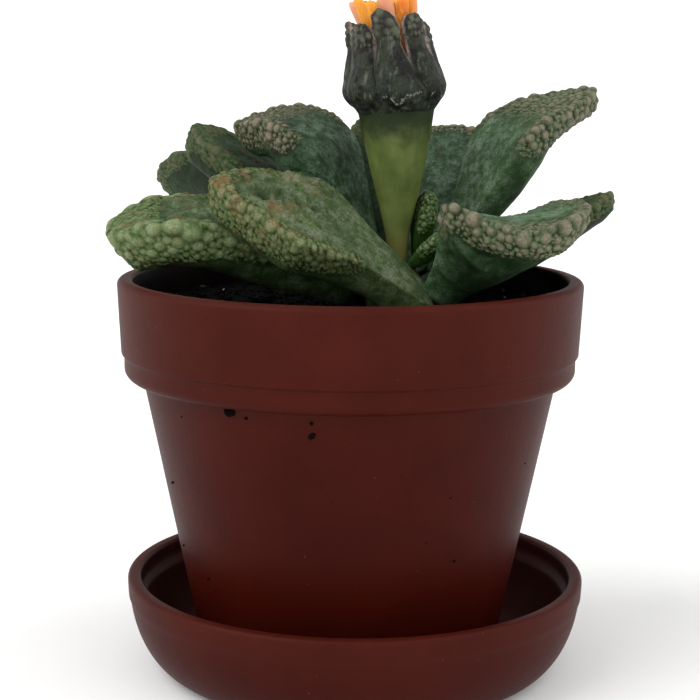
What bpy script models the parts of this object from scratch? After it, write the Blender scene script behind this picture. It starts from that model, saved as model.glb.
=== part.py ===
"""A potted titanopsis: a small stone-like succulent in a plastic pot on its saucer.

The saucer stands on its flat underside at z = 0, centred on the origin. The pot rests in it a
little off centre, filled with soil. The plant grows from a short crown: a rosette of thick,
spoon-shaped leaves with warty ends, and one closed flower on a cone-shaped stalk.
Lengths are in millimetres up to the last step, where MM makes them metres.
"""

import math
import random

import bmesh
import bpy
import numpy as np
from mathutils import Matrix, Vector, noise

MM = 0.001
GAP = 0.3  # kept between touching pieces

TURN_STEPS = 36  # facets round the turned pieces

# The saucer
SAUCER_RADIUS = 27.5
SAUCER_HEIGHT = 11.5
SAUCER_FOOT_RADIUS = 21.1
SAUCER_FLOOR = 1.5
SAUCER_WALL = 1.6
SAUCER_LEDGE_DROP = 2.2
SAUCER_LEDGE = 0.5
LIP_ROUND = 0.5

# The pot
POT_OFFSET_X = -0.8  # it stands a little to one side in the saucer
POT_BASE_Z = SAUCER_FLOOR + GAP
POT_TOP_Z = 47.2
POT_RADIUS = 27.5
POT_BASE_RADIUS = 17.8
POT_WALL_TOP_RADIUS = 24.6
POT_WALL = 1.3
RIM_FACE = 1.8
RIM_ROUND = 0.7
RIM_TAPER = 0.3
COLLAR_TAPER = 0.4
COLLAR_DROP = 8.9
BAND_STEP = 0.35
BAND_DROP = 2.8
BAND_ROUND = 1.2
DRAIN_RADIUS = 1.9
DRAIN_CIRCLE = 11.0
DRAIN_COUNT = 4

# The soil
SOIL_Z = 43.6
SOIL_LUMP = 0.6
SOIL_RINGS = 6

# The plant's short crown, and the flower above it, all places from the pot's axis
CROWN_X = 5.3
CROWN_Y = -1.0
CROWN_RADIUS = 3.7
CROWN_FOOT_Z = 39.0
CROWN_TOP_Z = 49.0
FLOWER_X = 5.5
FLOWER_Y = -1.0
STALK_FOOT_Z = CROWN_TOP_Z + GAP
CALYX_FOOT_Z = 66.5
CALYX_LEAN = 5.0  # degrees, to the left
STALK_OUTLINE = ((0.0, 1.6), (2.7, 1.75), (7.7, 2.4), (11.2, 3.2), (14.5, 3.8), (16.9, 4.2))

# Heights above the calyx foot: the cup, and the outer and inner radius of the sepals
CUP_OUTLINE = ((0.0, 3.9), (1.4, 4.6), (3.4, 5.0), (5.6, 4.5))
CUP_FLOOR = 4.0
SEPAL_OUTER = ((0.3, 4.6), (1.3, 5.5), (2.8, 6.0), (4.2, 5.9), (5.8, 5.4), (8.0, 5.0), (12.0, 4.7))
SEPAL_INNER = ((0.3, 3.0), (4.0, 3.7), (9.0, 3.8), (12.0, 4.1))
SEPAL_HALF = 3.2
SEPAL_WART_HEIGHT = 0.35
SEPALS = (  # compass turn in degrees, height of the tip, half its width, step outwards
    (270, 11.3, 1.9, 0.25),
    (325, 9.6, 1.5, 0.0),
    (22, 10.2, 1.8, 0.2),
    (90, 9.8, 1.7, 0.0),
    (155, 10.4, 1.8, 0.2),
    (214, 9.8, 1.6, 0.0),
)
PETAL_RINGS = (  # count, radius at the foot and at the tip, height of the tip, first turn in degrees
    (10, 2.9, 3.9, 13.3, 8),
    (6, 1.7, 2.3, 12.6, 30),
)
PETAL_HALF = 1.1
PETAL_THICK = 0.7
PETAL_FOOT = 6.4
PETAL_CORE = 2.9
PETAL_UNEVEN = 0.5

# Colours as seen, 0 to 255
POT_BROWN = (104, 48, 38)
SOIL_BROWN = (30, 24, 22)
LEAF_GREEN = (72, 92, 70)
LEAF_COLOURS = {"leaf_01": (104, 128, 80), "leaf_02": (106, 120, 88), "leaf_11": (96, 120, 66)}
STALK_GREEN = (104, 118, 62)
CALYX_PURPLE = (58, 52, 50)
PETAL_ORANGE = (220, 140, 48)

MODEL = "potted_titanopsis"
CUTTERS = "cutters"
LEAF_ROWS = 15  # rings from root to tip
LEAF_SIDES = 14
WART_HEIGHT = 0.55
SMALL_WART_HEIGHT = 0.3

# Leaves. heading: compass turn from +X, in degrees, which changes by swing on the way to the tip.
# root: where the leaf leaves the crown, from the crown's axis, and its height. rise: slope at the
# root and at the tip, in degrees, and bend: the shares of the length between which it changes.
# half: half the width at the corners of the end, and corner: how far along they are. roll: tilt of
# the upper face to the left, in degrees. dish: how far the edges stand above the middle, as a share
# of the width. keel and crest: depth below and above the middle line. blunt: squareness of the end.
LEAF_DEFAULTS = dict(
    length=26, rise=(16, 16), bend=(0, 1), swing=0, roll=0, half=5.6, keel=4.2, crest=0.8, dish=0.1,
    corner=0.66, blunt=1.6, neck=0.34,
)
LEAVES = {
    # on the left, from the front one to the back one
    "leaf_01": dict(
        root=(-4.4, -1.6, 45.5), heading=194, length=31, rise=(26, -17), bend=(0.4, 1), half=6.4,
        roll=28,
    ),
    "leaf_02": dict(root=(2.3, -6.0, 45.9), heading=177, length=27, rise=(37, 22), half=6.2, roll=38),
    "leaf_03": dict(
        root=(-3.6, 1.4, 47.4), heading=158, length=27.4, rise=(49, 32), bend=(0, 0.6), half=4.8,
        roll=-8,
    ),
    "leaf_04": dict(
        root=(-2.6, 1.4, 48.8), heading=161, length=29, rise=(68, -8), bend=(0.45, 0.85), half=5.8,
        roll=12,
    ),
    "leaf_05": dict(
        root=(-3.2, 2.8, 45.2), heading=142, length=38, rise=(30, -5), bend=(0.5, 1), half=5.4, keel=4.6,
    ),
    # on the right: the tall one, and the wide one that turns to the front
    "leaf_06": dict(
        root=(4.6, 2.3, 46.8), heading=20, length=32.4, rise=(64, 20), bend=(0.5, 0.72), half=6.4,
        keel=5.8, roll=-8,
    ),
    "leaf_07": dict(
        root=(4.8, -3.2, 45.4), heading=-30, swing=-76, length=23.5, rise=(47, -8), bend=(0.4, 0.75),
        half=8.4, keel=5.2, dish=0.25,
    ),
    # behind the flower
    "leaf_08": dict(
        root=(2.1, 3.9, 47.2), heading=68, length=22, rise=(57, 46), half=4.8, corner=0.74, blunt=2.4,
    ),
    "leaf_09": dict(
        root=(-0.2, 4.2, 47.6), heading=109, length=20, rise=(68, 54), half=3.5, keel=2.4, blunt=2.4,
    ),
    # the two young ones beside the stalk
    "leaf_10": dict(root=(2.4, 0.2, 49.2), heading=12, length=9, rise=(84, 40), half=3.0, keel=1.6),
    "leaf_11": dict(root=(2.2, -2.0, 48.4), heading=-15, length=7, rise=(50, 30), half=2.4, keel=1.4),
    # low down, at the back and on the right
    "leaf_12": dict(root=(-0.6, 4.2, 45.6), heading=104, rise=(16, 20), half=6.2),
    "leaf_13": dict(root=(2.8, 4.2, 45.4), heading=54, rise=(18, 16), half=6.0, keel=3.4),
    "leaf_14": dict(root=(4.2, 0.8, 44.9), heading=4, length=25, rise=(29, 25), half=5.0, keel=3.6),
}


def smooth_step(t):
    t = np.clip(t, 0.0, 1.0)
    return t * t * (3 - 2 * t)


def leaf_midline(leaf, s):
    """Points and directions of the leaf's middle line at the shares s of its length."""
    fine = np.linspace(0, 1, 97)
    turn = np.radians(leaf["heading"] + leaf["swing"] * fine**2)
    since, until = leaf["bend"]
    share = np.clip((fine - since) / (until - since), 0, 1)
    slope = np.radians(leaf["rise"][0] + (leaf["rise"][1] - leaf["rise"][0]) * share)
    way = np.stack([np.cos(slope) * np.cos(turn), np.cos(slope) * np.sin(turn), np.sin(slope)], 1)
    steps = (way[1:] + way[:-1]) / 2 * leaf["length"] / (len(fine) - 1)
    line = np.concatenate([np.zeros((1, 3)), np.cumsum(steps, 0)])
    x, y, height = leaf["root"]
    line += (CROWN_X + x, CROWN_Y + y, height)
    return [np.stack([np.interp(s, fine, table[:, k]) for k in range(3)], -1) for table in (line, way)]


def leaf_surface(leaf, s, turn):
    """A grid of points: s runs from root to tip, turn once round the section from its left edge."""
    middle, way = leaf_midline(leaf, s)
    across = np.stack([-way[:, 1], way[:, 0], np.zeros(len(s))], 1)
    across /= np.linalg.norm(across, axis=1)[:, None]
    up = np.cross(way, across)
    tilt = np.radians(leaf["roll"]) * smooth_step(s / 0.4 + 0.4)[:, None]
    across, up = across * np.cos(tilt) - up * np.sin(tilt), up * np.cos(tilt) + across * np.sin(tilt)

    nose = np.clip((s - leaf["corner"]) / (1 - leaf["corner"]), 0, 1)
    heel = np.sqrt(1 - (1 - np.clip(s / 0.06, 0, 1)) ** 2)
    spoon = leaf["neck"] + (1 - leaf["neck"]) * smooth_step(s / (leaf["corner"] + 0.04))
    half = leaf["half"] * spoon * heel * (1 - nose ** leaf["blunt"]) ** (1 / leaf["blunt"])
    swell = 0.45 + 0.55 * smooth_step(s / 0.45) - 0.3 * smooth_step((s - 0.5) / 0.4)
    chin = np.clip((s - 0.84) / 0.16, 0, 1)
    depth = leaf["keel"] * swell * heel * np.sqrt(1 - chin**2)
    crest = leaf["crest"] * swell * heel * np.sqrt(1 - chin**2)

    c, n = np.cos(turn)[None, :], np.sin(turn)[None, :]
    aside = half[:, None] * np.sign(c) * np.abs(c) ** 0.9
    high = np.where(n > 0, crest[:, None] * np.abs(n) ** 0.8, -depth[:, None] * np.abs(n) ** 0.95)
    high = high + leaf["dish"] * half[:, None] * c**2
    return middle[:, None] + across[:, None] * aside[..., None] + up[:, None] * high[..., None]


def leaf_stations(rows):
    """Shares of the length, closer together towards the warty end."""
    return 1 - (1 - np.linspace(0, 1, rows)) ** 1.35


def closed_loft(name, rings):
    """A closed mesh through rings of points, drawn together to one point at each end."""
    count, sides = rings.shape[:2]
    start, end = rings[0].mean(0), rings[-1].mean(0)
    points = [tuple(p) for p in rings[1:-1].reshape(-1, 3) * MM]
    points += [tuple(start * MM), tuple(end * MM)]
    faces = []
    for i in range(count - 3):
        for j in range(sides):
            k = (j + 1) % sides
            faces.append((i * sides + j, i * sides + k, (i + 1) * sides + k, (i + 1) * sides + j))
    last = (count - 3) * sides
    foot, head = len(points) - 2, len(points) - 1
    for j in range(sides):
        k = (j + 1) % sides
        faces.append((k, j, foot))
        faces.append((last + j, last + k, head))
    mesh = bpy.data.meshes.new(name)
    mesh.from_pydata(points, [], faces)
    return mesh


def raise_warts(mesh, chosen, seed, height, share=0.3):
    """Turns each chosen face into a stud: a smaller face, lifted off the surface."""
    draw = random.Random(seed)
    shape = bmesh.new()
    shape.from_mesh(mesh)
    shape.faces.ensure_lookup_table()
    for face in [shape.faces[index] for index in chosen]:
        width = math.sqrt(face.calc_area())
        bmesh.ops.inset_individual(
            shape,
            faces=[face],
            thickness=width * share * draw.uniform(0.75, 1.15),
            depth=height * MM * draw.uniform(0.7, 1.3),
            use_even_offset=False,
        )
    shape.to_mesh(mesh)
    shape.free()


def warty_faces(leaf, stations, sides):
    """Numbers of every other face on the leaf's warty end: its edges, upper side and below the tip."""
    chosen = []
    for i in range(len(stations) - 3):
        along = (stations[i + 1] + stations[i + 2]) / 2
        for j in range(sides):
            turn = 2 * math.pi * (j + 0.5) / sides
            edge, upper = abs(math.cos(turn)), math.sin(turn) > 0
            on_edge = edge > 0.55 and along > leaf["corner"] - 0.12
            on_top = upper and along > leaf["corner"] + 0.08
            below = not upper and edge > 0.3 and along > leaf["corner"] + 0.14
            if (on_edge or on_top or below) and (i + j) % 2:
                chosen.append(i * sides + j)
    return chosen


def leaf_object(name, own, number):
    leaf = {**LEAF_DEFAULTS, **own}
    small = leaf["length"] < 12
    rows, sides = (9, 10) if small else (LEAF_ROWS, LEAF_SIDES)
    stations = leaf_stations(rows)
    turn = np.arange(sides) * 2 * math.pi / sides
    mesh = closed_loft(name, leaf_surface(leaf, stations, turn))
    height = SMALL_WART_HEIGHT if small else WART_HEIGHT
    raise_warts(mesh, warty_faces(leaf, stations, sides), number, height)
    return finished(name, mesh, LEAF_COLOURS.get(name, LEAF_GREEN), 0.6)


def colour_of(red, green, blue):
    """A colour as seen, 0 to 255, as the linear values of a shader."""
    return tuple((value / 255) ** 2.2 for value in (red, green, blue)) + (1.0,)


def finished(name, mesh, colour, roughness, sharp=50):
    """An object in the plant's collection, smooth but for its sharp edges, with its own material."""
    mesh.shade_smooth()
    mesh.set_sharp_from_angle(angle=math.radians(sharp))
    material = bpy.data.materials.new(name)
    material.use_nodes = True
    shader = material.node_tree.nodes["Principled BSDF"]
    shader.inputs["Base Color"].default_value = colour_of(*colour)
    shader.inputs["Roughness"].default_value = roughness
    mesh.materials.append(material)
    thing = bpy.data.objects.new(name, mesh)
    bpy.data.collections[MODEL].objects.link(thing)
    return thing


def arc(x, z, radius, start, end, steps=3):
    """Points on an arc in the profile plane, with its angles in degrees."""
    turns = [math.radians(start + (end - start) * k / steps) for k in range(steps + 1)]
    return [(x + radius * math.cos(t), z + radius * math.sin(t)) for t in turns]


def turned_mesh(name, profile, steps):
    """A profile turned round the Z axis. It goes up the inside and down the outside."""
    mesh = bpy.data.meshes.new(name)
    points = [(x * MM, 0.0, z * MM) for x, z in profile]
    mesh.from_pydata(points, [(i, i + 1) for i in range(len(points) - 1)], [])
    thing = bpy.data.objects.new(name, mesh)
    bpy.context.scene.collection.objects.link(thing)
    screw = thing.modifiers.new("turn", "SCREW")
    screw.steps = screw.render_steps = steps
    screw.use_merge_vertices = True
    screw.merge_threshold = 0.00001
    solid = evaluated(thing)
    solid.name = name
    bpy.data.objects.remove(thing)
    return solid


def turned(name, profile, colour, roughness, steps=TURN_STEPS):
    return finished(name, turned_mesh(name, profile, steps), colour, roughness)


def turned_loose(name, profile, steps):
    return loose(turned_mesh(name, profile, steps))


def evaluated(thing):
    """The object's mesh with its modifiers applied."""
    graph = bpy.context.evaluated_depsgraph_get()
    return bpy.data.meshes.new_from_object(thing.evaluated_get(graph))


def cut(thing, cutter):
    """Leaves the cutter as a hidden guide and cuts it from the thing."""
    cutter.display_type = "WIRE"
    cutter.hide_render = True
    bool_cut = thing.modifiers.new("cut", "BOOLEAN")
    bool_cut.operation = "DIFFERENCE"
    bool_cut.object = cutter


def pin(name, x, y, radius, low, high, sides=32):
    """An upright cutting cylinder."""
    shape = bmesh.new()
    wide, deep = radius * MM, (high - low) * MM
    bmesh.ops.create_cone(shape, cap_ends=True, segments=sides, radius1=wide, radius2=wide, depth=deep)
    mesh = bpy.data.meshes.new(name)
    shape.to_mesh(mesh)
    shape.free()
    thing = bpy.data.objects.new(name, mesh)
    thing.location = (x * MM, y * MM, (low + high) / 2 * MM)
    bpy.data.collections[CUTTERS].objects.link(thing)
    return thing


def fused(name, pieces, colour, roughness):
    """One body made of overlapping pieces, which are then removed."""
    first, *others = pieces
    group = bpy.data.collections.new(name + "_pieces")
    bpy.context.scene.collection.children.link(group)
    for piece in others:
        group.objects.link(piece)
    union = first.modifiers.new("join", "BOOLEAN")
    union.operation = "UNION"
    union.operand_type = "COLLECTION"
    union.collection = group
    union.solver = "MANIFOLD"
    mesh = evaluated(first)
    mesh.materials.clear()
    for piece in pieces:
        bpy.data.objects.remove(piece)
    bpy.data.collections.remove(group)
    mesh.name = name
    return finished(name, mesh, colour, roughness)


def loose(mesh):
    """An object for fusing, outside the model's own collection."""
    thing = bpy.data.objects.new(mesh.name, mesh)
    bpy.context.scene.collection.objects.link(thing)
    return thing


def saucer():
    foot_round = SAUCER_RADIUS - SAUCER_FOOT_RADIUS
    side_high = SAUCER_HEIGHT - LIP_ROUND

    def side(offset, steps):
        """The curved side as a quarter ellipse, moved inwards by offset, from lip to foot."""
        turns = [math.pi / 2 * k / steps for k in range(steps + 1)]
        return [
            (
                SAUCER_FOOT_RADIUS - offset * 0.4 + (foot_round - offset * 0.6) * math.cos(t),
                side_high - (side_high - offset) * math.sin(t),
            )
            for t in turns
        ]

    inner_radius = SAUCER_RADIUS - SAUCER_WALL
    ledge_z = SAUCER_HEIGHT - SAUCER_LEDGE_DROP
    inner = [(x - SAUCER_LEDGE, z) for x, z in side(SAUCER_WALL, 7) if z < ledge_z - 0.3]
    profile = [(0.0, SAUCER_FLOOR)] + inner[::-1]
    profile += [(inner_radius - SAUCER_LEDGE, ledge_z), (inner_radius, ledge_z)]
    profile += arc(inner_radius + LIP_ROUND, side_high, LIP_ROUND, 180, 90, 2)
    profile += arc(SAUCER_RADIUS - LIP_ROUND, side_high, LIP_ROUND, 90, 0, 2)
    profile += side(0.0, 7)[1:] + [(0.0, 0.0)]
    profile = [(x, max(z, SAUCER_FLOOR) if i < len(inner) + 1 else z) for i, (x, z) in enumerate(profile)]
    return turned("saucer", profile, POT_BROWN, 0.45)


def pot_wall_radius(z):
    """Outer radius of the pot's tapering wall."""
    wall_top = POT_TOP_Z - COLLAR_DROP - BAND_DROP
    share = (z - POT_BASE_Z) / (wall_top - POT_BASE_Z)
    return POT_BASE_RADIUS + (POT_WALL_TOP_RADIUS - POT_BASE_RADIUS) * share


def pot():
    collar_z = POT_TOP_Z - COLLAR_DROP
    band_z = collar_z - BAND_DROP
    floor_z = POT_BASE_Z + POT_WALL
    rim_inner = POT_RADIUS - RIM_FACE
    collar_radius = POT_RADIUS - COLLAR_TAPER
    band_radius = collar_radius - BAND_STEP

    profile = [(0.0, floor_z)]
    profile += arc(pot_wall_radius(floor_z) - POT_WALL - 1.0, floor_z + 1.0, 1.0, -90, 0, 2)
    profile += [(pot_wall_radius(band_z) - POT_WALL, band_z), (rim_inner - RIM_TAPER, collar_z)]
    profile += arc(rim_inner + 0.4, POT_TOP_Z - 0.4, 0.4, 180, 90, 2)
    profile += arc(POT_RADIUS - RIM_ROUND, POT_TOP_Z - RIM_ROUND, RIM_ROUND, 90, 0, 3)
    profile += arc(collar_radius - 0.3, collar_z + 0.3, 0.3, 0, -90, 2)
    profile += [(band_radius, collar_z)]
    profile += arc(band_radius - BAND_ROUND, band_z + BAND_ROUND, BAND_ROUND, 0, -90, 3)
    profile += [(POT_WALL_TOP_RADIUS, band_z)]
    profile += arc(POT_BASE_RADIUS - 0.6, POT_BASE_Z + 0.6, 0.6, 0, -90, 2) + [(0.0, POT_BASE_Z)]

    thing = turned("pot", profile, POT_BROWN, 0.45)
    for k in range(DRAIN_COUNT):
        turn = 2 * math.pi * (k + 0.5) / DRAIN_COUNT
        x, y = DRAIN_CIRCLE * math.cos(turn), DRAIN_CIRCLE * math.sin(turn)
        cut(thing, pin(f"drain_{k + 1}", x, y, DRAIN_RADIUS, POT_BASE_Z - 1, floor_z + 1, 16))
    return thing


def soil_edge(z):
    """Radius of the soil where it lies against the pot's tapering wall."""
    return pot_wall_radius(z) - POT_WALL - 1.5 * GAP


def soil():
    low = POT_BASE_Z + POT_WALL + GAP
    corner = 1.2
    collar_z = POT_TOP_Z - COLLAR_DROP
    band_z = collar_z - BAND_DROP
    top_edge = POT_RADIUS - RIM_FACE - RIM_TAPER - GAP
    profile = [(top_edge * k / SOIL_RINGS, SOIL_Z) for k in range(SOIL_RINGS + 1)]
    profile += [(top_edge, collar_z), (soil_edge(band_z), band_z), (soil_edge(low + corner), low + corner)]
    profile += [(soil_edge(low) - corner, low), (0.0, low)]
    thing = turned("soil", profile, SOIL_BROWN, 0.95)
    for vertex in thing.data.vertices:
        away = math.hypot(vertex.co.x, vertex.co.y) / MM / top_edge
        if vertex.co.z > (SOIL_Z - 0.1) * MM and away < 0.97:
            wave = noise.noise(vertex.co / MM * 0.35) + 0.6 * noise.noise(vertex.co / MM * 0.9)
            vertex.co.z += SOIL_LUMP * wave * MM
    cut(thing, pin("crown_hole", CROWN_X, CROWN_Y, CROWN_RADIUS + GAP, CROWN_FOOT_Z - GAP, POT_TOP_Z))
    return thing


def crown():
    """The short stem that the leaves grow from, standing in the soil."""
    shoulder = 46.5
    profile = [(0.0, CROWN_TOP_Z), (1.6, CROWN_TOP_Z - 0.1), (2.6, CROWN_TOP_Z - 0.8)]
    profile += [(CROWN_RADIUS - 0.3, shoulder + 0.6), (CROWN_RADIUS, shoulder)]
    profile += [(CROWN_RADIUS, CROWN_FOOT_Z + 1.5), (CROWN_RADIUS - 1.0, CROWN_FOOT_Z), (0.0, CROWN_FOOT_Z)]
    thing = turned("crown", profile, STALK_GREEN, 0.6, 28)
    thing.location = (CROWN_X * MM, CROWN_Y * MM, 0.0)
    return thing


def flower_stalk():
    top = CALYX_FOOT_Z - 2 * GAP
    profile = [(0.0, top), (3.4, top)]
    profile += [(radius, STALK_FOOT_Z + height) for height, radius in STALK_OUTLINE[::-1]]
    profile += [(0.0, STALK_FOOT_Z)]
    profile[2] = (profile[2][0], top - 0.4)
    thing = turned("flower_stalk", profile, STALK_GREEN, 0.5, 28)
    thing.location = (FLOWER_X * MM, FLOWER_Y * MM, 0.0)
    return thing


def read_outline(outline, height):
    return np.interp(height, [h for h, _ in outline], [r for _, r in outline])


def sepal_rings(turn, tip, tip_half, step, rows, across):
    """Rings round one sepal: an outer skin bulging outwards, and an inner one facing the petals."""
    rings = []
    foot = SEPAL_OUTER[0][0] + step / 2
    q = np.linspace(-1, 1, across + 1)
    for share in np.linspace(0, 1, rows):
        height = foot + (tip - foot) * share
        closing = math.sqrt(max(1 - max(share - 0.8, 0) ** 2 / 0.04, 0))
        opening = min(1, 0.5 + share * 4)
        half = (SEPAL_HALF + (tip_half - SEPAL_HALF) * share) * (0.35 + 0.65 * closing) * opening
        outer = read_outline(SEPAL_OUTER, height) + step
        inner = read_outline(SEPAL_INNER, height) + step / 2
        spread = np.radians(turn) + q * half / outer
        skin = outer - (outer - inner) * 0.55 * np.abs(q) ** 2.5
        radius = np.concatenate([skin, np.full(across + 1, inner)])
        spread = np.concatenate([spread, spread[::-1]])
        rings.append(np.stack([radius * np.cos(spread), radius * np.sin(spread), np.full(len(radius), height)], 1))
    return np.array(rings)


def capped(name, rings):
    """A closed mesh through rings of points, with a flat face at each end."""
    count, sides = rings.shape[:2]
    faces = [tuple(range(sides))[::-1], tuple((count - 1) * sides + j for j in range(sides))]
    for i in range(count - 1):
        for j in range(sides):
            k = (j + 1) % sides
            faces.append((i * sides + j, i * sides + k, (i + 1) * sides + k, (i + 1) * sides + j))
    mesh = bpy.data.meshes.new(name)
    mesh.from_pydata([tuple(p) for p in rings.reshape(-1, 3) * MM], [], faces)
    return mesh


def calyx(place):
    """A cup with six thick sepals standing on it, warty near their tips."""
    cup = [(0.0, CUP_FLOOR), (3.4, CUP_FLOOR), (3.6, CUP_OUTLINE[-1][0])]
    cup += [(radius, height) for height, radius in CUP_OUTLINE[::-1]] + [(0.0, 0.0)]
    pieces = [turned_loose("cup", cup, 36)]
    across, rows = 6, 8
    sides = 2 * across + 2
    for number, (turn, tip, tip_half, step) in enumerate(SEPALS):
        mesh = capped(f"sepal_{number + 1}", sepal_rings(turn, tip, tip_half, step, rows, across))
        places = [(i, j) for i in range(rows - 4, rows - 1) for j in range(1, across - 1) if (i + j) % 2]
        raise_warts(mesh, [2 + i * sides + j for i, j in places], 50 + number, SEPAL_WART_HEIGHT)
        pieces.append(loose(mesh))
    thing = fused("calyx", pieces, CALYX_PURPLE, 0.6)
    thing.matrix_world = place
    return thing


def petal_rings(turn, foot_radius, tip_radius, tip):
    """Rings up one strip-shaped petal, which spreads outwards in its upper half."""
    rings = []
    for share in (0, 0.35, 0.7, 0.92, 1):
        z = PETAL_FOOT + (tip - PETAL_FOOT) * share
        radius = foot_radius + (tip_radius - foot_radius) * smooth_step(share * 2 - 1)
        half = PETAL_HALF if share < 0.9 else PETAL_HALF * 0.8
        thick = PETAL_THICK / 2
        outer = [(thick, -half), (thick * 1.3, 0), (thick, half)]
        inner = [(-thick, half), (-thick * 0.7, 0), (-thick, -half)]
        ring = Matrix.Rotation(turn, 3, "Z")
        rings.append([ring @ Vector((radius + out, side, z)) for out, side in outer + inner])
    return np.array(rings)


def petals(place):
    """The closed petals, fused to the flower's core."""
    foot = CUP_FLOOR + GAP
    core = [(0.0, 10.6), (1.3, 10.4), (PETAL_CORE, 8.6), (PETAL_CORE, foot), (0.0, foot)]
    pieces = [turned_loose("core", core, 24)]
    for count, foot_radius, tip_radius, tip, first in PETAL_RINGS:
        for k in range(count):
            turn = math.radians(first + 360 * k / count)
            height = tip - PETAL_UNEVEN * (k * 7 % 5) / 5
            rings = petal_rings(turn, foot_radius, tip_radius, height)
            pieces.append(loose(capped(f"petal_{count}_{k}", rings)))
    thing = fused("petals", pieces, PETAL_ORANGE, 0.5)
    thing.matrix_world = place
    return thing


def main():
    for thing in list(bpy.data.objects):
        bpy.data.objects.remove(thing)
    for name in (MODEL, CUTTERS):
        bpy.context.scene.collection.children.link(bpy.data.collections.new(name))

    saucer()
    in_pot = [pot(), soil(), crown(), flower_stalk()]
    lean = Matrix.Rotation(math.radians(-CALYX_LEAN), 4, "Y")
    flower = Matrix.Translation(Vector((FLOWER_X, FLOWER_Y, CALYX_FOOT_Z)) * MM) @ lean
    in_pot += [calyx(flower), petals(flower)]
    in_pot += [leaf_object(name, leaf, number) for number, (name, leaf) in enumerate(LEAVES.items())]

    pot_axis = bpy.data.objects.new("pot_axis", None)
    bpy.data.collections[MODEL].objects.link(pot_axis)
    for thing in in_pot + list(bpy.data.collections[CUTTERS].objects):
        thing.parent = pot_axis
    pot_axis.location.x = POT_OFFSET_X * MM


main()
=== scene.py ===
# Potted titanopsis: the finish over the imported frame. Lengths are in mm until a mesh is made.
import math

import bpy
import numpy as np
from mathutils import Matrix, Vector


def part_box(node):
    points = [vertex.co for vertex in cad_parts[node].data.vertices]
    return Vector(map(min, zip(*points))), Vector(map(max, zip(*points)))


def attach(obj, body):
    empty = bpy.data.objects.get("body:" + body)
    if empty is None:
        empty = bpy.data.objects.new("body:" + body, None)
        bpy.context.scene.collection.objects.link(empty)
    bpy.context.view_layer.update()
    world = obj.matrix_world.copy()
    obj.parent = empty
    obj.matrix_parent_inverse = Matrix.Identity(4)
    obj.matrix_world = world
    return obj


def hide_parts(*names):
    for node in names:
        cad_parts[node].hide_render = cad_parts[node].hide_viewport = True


mm = 0.001
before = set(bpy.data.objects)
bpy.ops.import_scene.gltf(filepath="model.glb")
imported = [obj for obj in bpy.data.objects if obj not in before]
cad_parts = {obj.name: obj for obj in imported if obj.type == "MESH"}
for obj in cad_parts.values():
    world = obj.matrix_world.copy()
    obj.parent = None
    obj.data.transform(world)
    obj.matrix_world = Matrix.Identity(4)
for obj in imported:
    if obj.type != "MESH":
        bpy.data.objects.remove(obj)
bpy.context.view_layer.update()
print("frame loaded:", len(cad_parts), "nodes")


# places read from the frame, in mm

def middleOf(node):
    # half of the low corner plus the high corner of the node's box
    low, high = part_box(node)
    return (np.array(low) + np.array(high)) / 2 / mm


def lowOf(node):
    # the corner of its box with the least x, y and z
    return np.array(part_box(node)[0]) / mm


def highOf(node):
    # the corner of its box with the greatest x, y and z
    return np.array(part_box(node)[1]) / mm


potAxis = middleOf("pot")[:2]
crownAxis = middleOf("crown")[:2]
stalkAxis = middleOf("flower_stalk")[:2]
potTop = highOf("pot")[2]
potFoot = lowOf("pot")[2]
potRadius = (highOf("pot")[0] - lowOf("pot")[0]) / 2
saucerRadius = (highOf("saucer")[0] - lowOf("saucer")[0]) / 2
saucerTop = highOf("saucer")[2]


# small helpers for surfaces

def smoothStep(t):
    # 0 below 0, 1 above 1 and 3t^2 - 2t^3 in between
    t = np.clip(t, 0.0, 1.0)
    return t * t * (3 - 2 * t)


def latticeNoise(points, size, seed):
    # random values on a cubic lattice of the given size, blended smoothly between its corners: -1 to 1
    p = np.asarray(points) / size + 1000.0
    cell = np.floor(p).astype(np.int64)
    f = p - cell
    f = f * f * (3 - 2 * f)
    total = np.zeros(p.shape[:-1])
    for corner in range(8):
        step = np.array([corner & 1, corner >> 1 & 1, corner >> 2 & 1])
        c = cell + step
        mixed = c[..., 0] * 73856093 ^ c[..., 1] * 19349663 ^ c[..., 2] * 83492791 ^ seed * 2654435761
        mixed = (mixed ^ (mixed >> 13)) * 1274126177 & 0x7FFFFFFF
        mixed = (mixed ^ (mixed >> 15)) * 668265263 & 0x7FFFFFFF
        value = (mixed & 0xFFFFF) / 0x7FFFF - 1
        weight = np.prod(np.where(step == 1, f, 1 - f), -1)
        total += value * weight
    return total


def rollingNoise(points, size, seed, layers=3):
    # latticeNoise at the size, its half, its quarter and so on, each half as strong
    total = sum(latticeNoise(points, size / 2**k, seed + k) / 2**k for k in range(layers))
    return total / (2 - 2 ** (1 - layers))


def gridNormals(grid):
    # outward normals of a grid that is closed round its second axis
    alongRows = np.gradient(grid, axis=0)
    around = np.roll(grid, -1, 1) - np.roll(grid, 1, 1)
    normals = np.cross(around, alongRows)
    return normals / (np.linalg.norm(normals, axis=-1, keepdims=True) + 1e-12)


def makePiece(name, points, faces, values=None):
    # a smooth mesh at the origin from points in mm. values are numbers on its points for the materials
    mesh = bpy.data.meshes.new(name)
    mesh.from_pydata((np.asarray(points) * mm).tolist(), [], faces)
    for key, value in (values or {}).items():
        layer = mesh.attributes.new(key, "FLOAT", "POINT")
        layer.data.foreach_set("value", np.ascontiguousarray(value, dtype=np.float32))
    mesh.shade_smooth()
    piece = bpy.data.objects.new(name, mesh)
    bpy.context.scene.collection.objects.link(piece)
    return piece


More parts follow.
